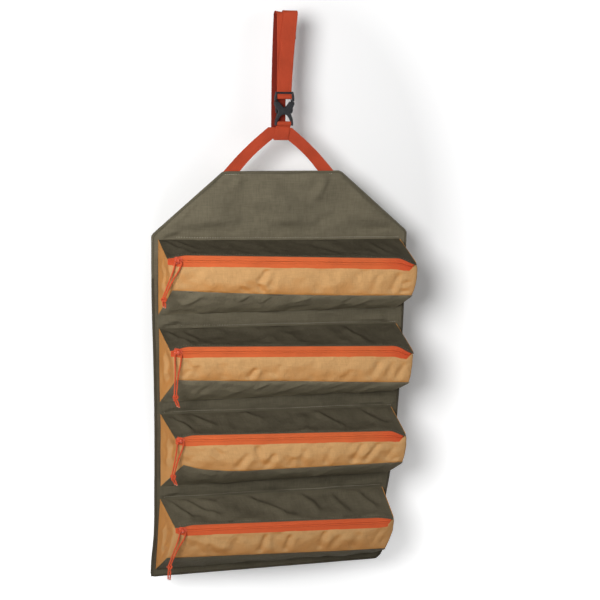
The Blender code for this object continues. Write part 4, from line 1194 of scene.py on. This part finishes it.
def bend(centre, radius, start, end, x_start=0, x_end=0, steps=14):
    """Points round a centre in Y and Z, from one angle to another in degrees from +Y."""
    share = np.linspace(0, 1, steps + 1)
    angle = np.radians(between(start, end, share))
    y, z = centre[0] + radius * np.cos(angle), centre[1] + radius * np.sin(angle)
    return list(spots(between(x_start, x_end, share), y, z))


def touch_angle(centre, radius, spot, turn):
    """Where a line from a spot touches a circle, in degrees from +Y."""
    across, up = spot[0] - centre[0], spot[1] - centre[1]
    return degrees(atan2(up, across) + turn * acos(radius / hypot(across, up)))


def run(start, end, bow=(0, 0), steps=26):
    """What lies between the two ends of a straight run of strap, with a slight bow in X and in Y."""
    t = np.arange(1, steps)[:, None] / steps
    return list(between(np.array(start, float), np.array(end, float), t) + np.sin(pi * t) * (*bow, 0))


def add_strap_rear():
    crest = bend((0, CREST_Z), INNER_CREST, 0, 180, -6, -2)
    foot, shoulder = (-8.0, 0.2, HANDLE_UNDERSIDE), (-8.0, 0.2, HANDLE_TOP)
    leg = [foot, *run(foot, shoulder, steps=6), shoulder, *run(shoulder, crest[0], (-0.8, 1.2)), *crest[:3]]
    form = Form()
    # The leg, seen by its outer face, is a darker copy of the webbing: painted shade
    strap(form, leg, 25.0, finish=1)
    strap(form, crest[2:], 25.0)
    piece = form.make("hanging_strap_rear", [WEBBING, SHADED_WEBBING], "webbing", "strap_rear")
    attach(piece, "root")


def add_strap_front():
    crossing = touch_angle(OUTER_BAR, 2 * WRAP, CENTRE_BAR, 1)
    inner = bend(CENTRE_BAR, WRAP, 360, 180 + crossing)
    outer = bend(OUTER_BAR, WRAP, crossing, 0)
    crest = bend((0, CREST_Z + 1.0), OUTER_CREST, 180, 0, 8.5, 8.5)
    top = (-2.0, -INNER_CREST, CREST_Z - 0.3)
    tail = (8.5, OUTER_CREST, CREST_Z - 40)
    line = [top, *run(top, inner[0], (0.6, 0.0)), *inner, *outer, *run(outer[-1], crest[0], (-1.4, -2.2)),
            *crest, *run(crest[-1], tail, (0, 0.8), 10), tail]
    form = Form()
    strap(form, line, 25.0)
    piece = form.make("hanging_strap_front", [WEBBING], "webbing", "strap_front")
    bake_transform(piece)


def add_tab():
    """The webbing that goes round the buckle's lower bar and both faces of the handle, closed below it."""
    radius = TAB_BAR_RADIUS + 0.3 + WEBBING_THICKNESS / 2
    rear, near = HANDLE_Y + TAB_LAYER, HANDLE_Y - TAB_LAYER
    foot, shoulder = HANDLE_UNDERSIDE - 0.95, HANDLE_TOP + 0.65
    start = touch_angle(TAB_BAR, radius, (rear, shoulder), 1)
    end = 360 + touch_angle(TAB_BAR, radius, (near, shoulder), -1)
    turn = bend(TAB_BAR, radius, start, end, steps=18)
    low_rear, low_near = ((TAB_X, y, foot + 1.2) for y in (rear, near))
    high_rear, high_near = ((-0.4, y, shoulder) for y in (rear, near))
    fold = bend((HANDLE_Y, foot + 1.2), TAB_LAYER, -180, 0, TAB_X, TAB_X, 8)
    line = [low_rear, *run(low_rear, high_rear, (0, 0.2), 8), high_rear, *run(high_rear, turn[0], steps=3),
            *turn, *run(turn[-1], high_near, steps=3), high_near, *run(high_near, low_near, (0, -0.35), 8),
            low_near, *fold[1:-1]]
    form = Form()
    strap(form, line, 24.5, closed=True)
    for rise in (3.2, 6.0):
        row = spots(np.linspace(TAB_X - 10.0, TAB_X + 11.2, 14), near - 0.75, foot + rise)
        stitches(form, row, TO_FRONT, 2.3, 1.8, 0.3, sink=0.05)
    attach(form.make("strap_tab", [WEBBING, ORANGE_THREAD], "webbing", "tab"), "root")


def cross(first, second):
    """The cross product of two flat vectors."""
    return first[0] * second[1] - first[1] * second[0]


def handle_strip(form):
    """The handle's flat webbing from one foot over the crown to the other, mitred at its bends."""
    foot = TOP - 2.0
    outer = np.array([(-104, foot), (-26, HANDLE_TOP), (15, HANDLE_TOP - 1.0), (92, foot)])
    legs = np.diff(outer, axis=0)
    outwards = unit(np.stack([-legs[:, 1], legs[:, 0]], axis=1))
    # The inner corners lie where the legs' inner edges meet each other, and the level of the feet
    edges = np.array([(0, foot), *(outer[:-1] - outwards * HANDLE_WIDTH), (0, foot)])
    ways = np.array([(1, 0), *legs, (1, 0)])
    inner = [spot + way * cross(edges[i + 1] - spot, ways[i + 1]) / cross(way, ways[i + 1])
             for i, (spot, way) in enumerate(zip(edges[:-1], ways[:-1]))]
    across = np.linspace(0, 1, 11)[:, None]
    columns, places, gone = [], [], 0.0
    for i, count in enumerate((34, 12, 34)):
        for j in range(count + (i == 2)):
            # The two legs bow outwards and forwards a little
            bow = 0.0 if i == 1 else sin(pi * j / count)
            ends = [between(edge[i], edge[i + 1], j / count) + outwards[i] * HANDLE_BOW * bow
                    for edge in (outer, inner)]
            x, z = between(*ends, across).T
            columns.append(spots(x, HANDLE_Y - WEBBING_THICKNESS / 2 - 0.9 * bow, z))
            places.append(np.insert(across * HANDLE_WIDTH, 1, gone, axis=1))
            gone += hypot(*legs[i]) / count
    grid = np.stack(columns, axis=1)
    slab(form, grid, back=grid + (0, WEBBING_THICKNESS, 0), places=np.stack(places, axis=1))


def add_handle():
    form = Form()
    handle_strip(form)
    for first, last in ((-95, -76), (66, 85)):
        row = spots(np.linspace(first, last, 12), HANDLE_Y - 0.8, TOP + 3.0)
        stitches(form, row, TO_FRONT, 2.2, 1.7, 0.28, sink=0.05)
    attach(form.make("carrying_handle", [WEBBING, ORANGE_THREAD], "webbing", "handle"), "root")


add_strap_rear()
add_strap_front()
add_tab()
add_handle()


# Buckle

BUCKLE_Y = -6.3
BUCKLE_FOOT = -186.6
FEMALE_TOP = -146.6
PRONG_TOP = -144.8
MALE_TOP = -129.9


def add_bar(form, place, half, radius):
    """A round bar along X at a place in Y and Z."""
    tube(form, spots(np.linspace(-half, half, 9), *place), radius, around=16)


def finish_buckle(form, name, node, body):
    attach(form.make(name, [PLASTIC], "buckle_plastic", node, sharp=45), body)


def add_buckle_female():
    """The X-shaped socket with its tab bar, a raised boss at the crossing and a groove down each arm."""
    foot = BUCKLE_FOOT
    right = [(0.0, -156.6), (3.6, -154.6), (6.4, -151.0), (9.2, -146.9), (10.4, FEMALE_TOP),
             (15.6, FEMALE_TOP), (17.1, -147.6), (17.3, -150.5), (15.9, -154.6), (12.6, -159.0),
             (10.8, -162.4), (11.4, -166.2),
             (13.2, -171.0), (14.8, -177.0), (15.6, -182.5), (15.5, foot + 0.4), (14.6, foot), (13.0, foot),
             (12.6, -185.0), (11.6, -179.5), (9.2, -174.2), (6.2, -170.2), (3.2, -168.4), (0.0, -168.0)]
    core = [(0.0, -157.6), (4.2, -156.0), (6.8, -156.4), (7.4, -160.0), (7.2, -164.6), (6.0, -167.4),
            (0.0, -167.0)]
    side = [(11.6, -168.6), (12.6, -172.0), (14.0, -178.0), (15.0, -185.6), (13.3, -185.6), (12.4, -178.6),
            (10.8, -173.2), (10.2, -169.8)]
    grooves = ([(13.9, -149.4), (12.6, -152.2), (10.0, -156.2), (7.0, -159.2)],
               [(14.6, -183.4), (13.9, -176.0), (11.4, -170.4), (8.0, -166.0)])
    form = Form()
    add_plate(form, both_halves(right), 3.0, 1.0, (0, BUCKLE_Y - 2.85, 0))
    add_plate(form, both_halves(right), 2.4, 0.8, (0, BUCKLE_Y + 3.0, 0))
    add_plate(form, both_halves(core), 6.0, 0.4, (0, BUCKLE_Y, 0))
    for hand in (-1, 1):
        add_plate(form, [(hand * x, z) for x, z in side], 6.0, 0.3, (0, BUCKLE_Y, 0))
    add_plate(form, ring(20, 4.4, 3.4, -162.4), 1.6, 0.7, (0, BUCKLE_Y - 4.1, 0))
    for hand in (-1, 1):
        for line in grooves:
            way = smooth_route([(hand * x, BUCKLE_Y - 4.25, z) for x, z in line], 5)
            tube(form, way, 0.55, around=8, ends="both")
    add_bar(form, TAB_BAR, 14.2, TAB_BAR_RADIUS)
    finish_buckle(form, "buckle_socket", "buckle_female", "root")


def add_buckle_male():
    """The frame that carries the strap: two rails, a gripping centre bar and an outer bar."""
    step = -143.2
    right = [(13.2, MALE_TOP - 0.6), (14.2, MALE_TOP), (15.0, MALE_TOP - 0.4), (15.5, MALE_TOP - 2.2),
             (16.6, -137.0), (17.0, -140.5), (17.0, -145.2), (16.2, -146.3), (15.2, -146.3), (15.1, -144.6),
             (11.0, -144.5), (11.0, step - 0.2), (12.6, step), (13.2, step + 1.2)]
    form = Form()
    for outline in (right, mirrored(right)):
        add_plate(form, outline, 6.1, 0.8, (0, BUCKLE_Y - 0.55, 0))
    add_bar(form, OUTER_BAR, 14.0, 1.75)
    add_bar(form, CENTRE_BAR, 14.0, 1.7)
    finish_buckle(form, "buckle_frame", "buckle_male", "buckle_upper")


def add_prong(side, hand):
    """A springy prong with a rounded tip and a thumb pad at its outer side."""
    foot = PRONG_TOP - 21.7
    right = [(11.5, PRONG_TOP), (14.6, PRONG_TOP), (14.75, -150.0), (14.6, -154.6), (15.2, -156.0),
             (15.5, -158.6), (15.1, -163.0), (14.0, foot + 0.5), (12.9, foot), (11.8, foot + 0.8),
             (11.3, -162.0), (11.6, -155.0), (11.3, -149.0)]
    form = Form()
    add_plate(form, right if hand > 0 else mirrored(right), 2.3, 0.6, (0, BUCKLE_Y, 0))
    for z in (-157.6, -159.2, -160.8):
        ridge = spots(hand * np.array((15.15, 15.25, 15.15)), BUCKLE_Y + np.array((-1, 0, 1)), z)
        tube(form, ridge, 0.35, around=8)
    finish_buckle(form, f"buckle_prong_{side}", f"prong_{side}", f"prong_{side}")


add_buckle_female()
add_buckle_male()
add_prong("left", -1)
add_prong("right", 1)


# Wall, floor and light

WALL_GAP = 0.078
FLOOR_Z = -1.6


def stage_material(name):
    """A pale surface that the camera sees from its front, and that keeps the object's shadow."""
    paint = Paint(name)
    paint.put(paint.shader.inputs, {"Base Color": WHITE, "Roughness": 1.0, "Specular IOR Level": 0.0})
    # Away from the object the light falls off, so the surface glows more there
    around = paint.add("Mapping", {0: paint.object_place(), 1: (-0.14, 0, 0.68), 3: (2.8, 0, 1.6)}).outputs[0]
    reach = paint.add("VectorMath", {0: around}, operation="LENGTH").outputs["Value"]
    glow = paint.add("Emission", {"Color": WHITE, "Strength": paint.span(reach, 0.7, 1.4, 0.0, 0.7)})
    lit = paint.add("AddShader", {0: paint.shader.outputs[0], 1: glow.outputs[0]})
    clear = paint.add("BsdfTransparent")
    ray = paint.add("LightPath").outputs
    seen = paint.most(ray["Is Camera Ray"], ray["Is Glossy Ray"], ray["Is Transmission Ray"])
    front = paint.maths("SUBTRACT", 1.0, paint.add("NewGeometry").outputs["Backfacing"])
    mixed = paint.add("MixShader", {0: paint.maths("MULTIPLY", seen, front), 1: clear.outputs[0],
                                    2: lit.outputs[0]})
    paint.put(paint.tree.nodes["Material Output"].inputs, {"Surface": mixed.outputs[0]})
    return paint.material


def add_stage(name, corners):
    mesh = bpy.data.meshes.new(name)
    mesh.from_pydata(corners, [], [(0, 1, 2, 3)])
    mesh.materials.append(stage_material(name))
    add_object(name, mesh)


def add_world():
    """A dim light from all round, and plain white where the camera sees past the stage."""
    world = bpy.data.worlds.new("studio")
    bpy.context.scene.world = world
    world.use_nodes = True
    nodes = Nodes(world.node_tree)
    dim = nodes.tree.nodes["Background"]
    nodes.put(dim.inputs, {"Color": WHITE, "Strength": 0.24})
    white = nodes.add("Background", {"Color": WHITE, "Strength": 1.0})
    ray = nodes.add("LightPath").outputs
    seen = nodes.most(ray["Is Camera Ray"], ray["Is Transmission Ray"])
    mixed = nodes.add("MixShader", {0: seen, 1: dim.outputs[0], 2: white.outputs[0]})
    nodes.put(nodes.tree.nodes["World Output"].inputs, {"Surface": mixed.outputs[0]})


add_stage("wall", [(-6, WALL_GAP, FLOOR_Z), (6, WALL_GAP, FLOOR_Z), (6, WALL_GAP, 4), (-6, WALL_GAP, 4)])
add_stage("floor", [(-6, -6, FLOOR_Z), (6, -6, FLOOR_Z), (6, 6, FLOOR_Z), (-6, 6, FLOOR_Z)])
add_world()
add_lamp("key", (-0.92, -1.5, 0.12), (0.0, 0.0, -0.55), 0.8, 30)
add_lamp("fill", (1.2, -1.8, -0.3), (0.0, 0.0, -0.6), 1.2, 4)
add_lamp("back", (0.5, 2.4, 0.6), (0.0, 0.0, -0.55), 1.6, 30)
bpy.context.scene.view_settings.view_transform = "Standard"
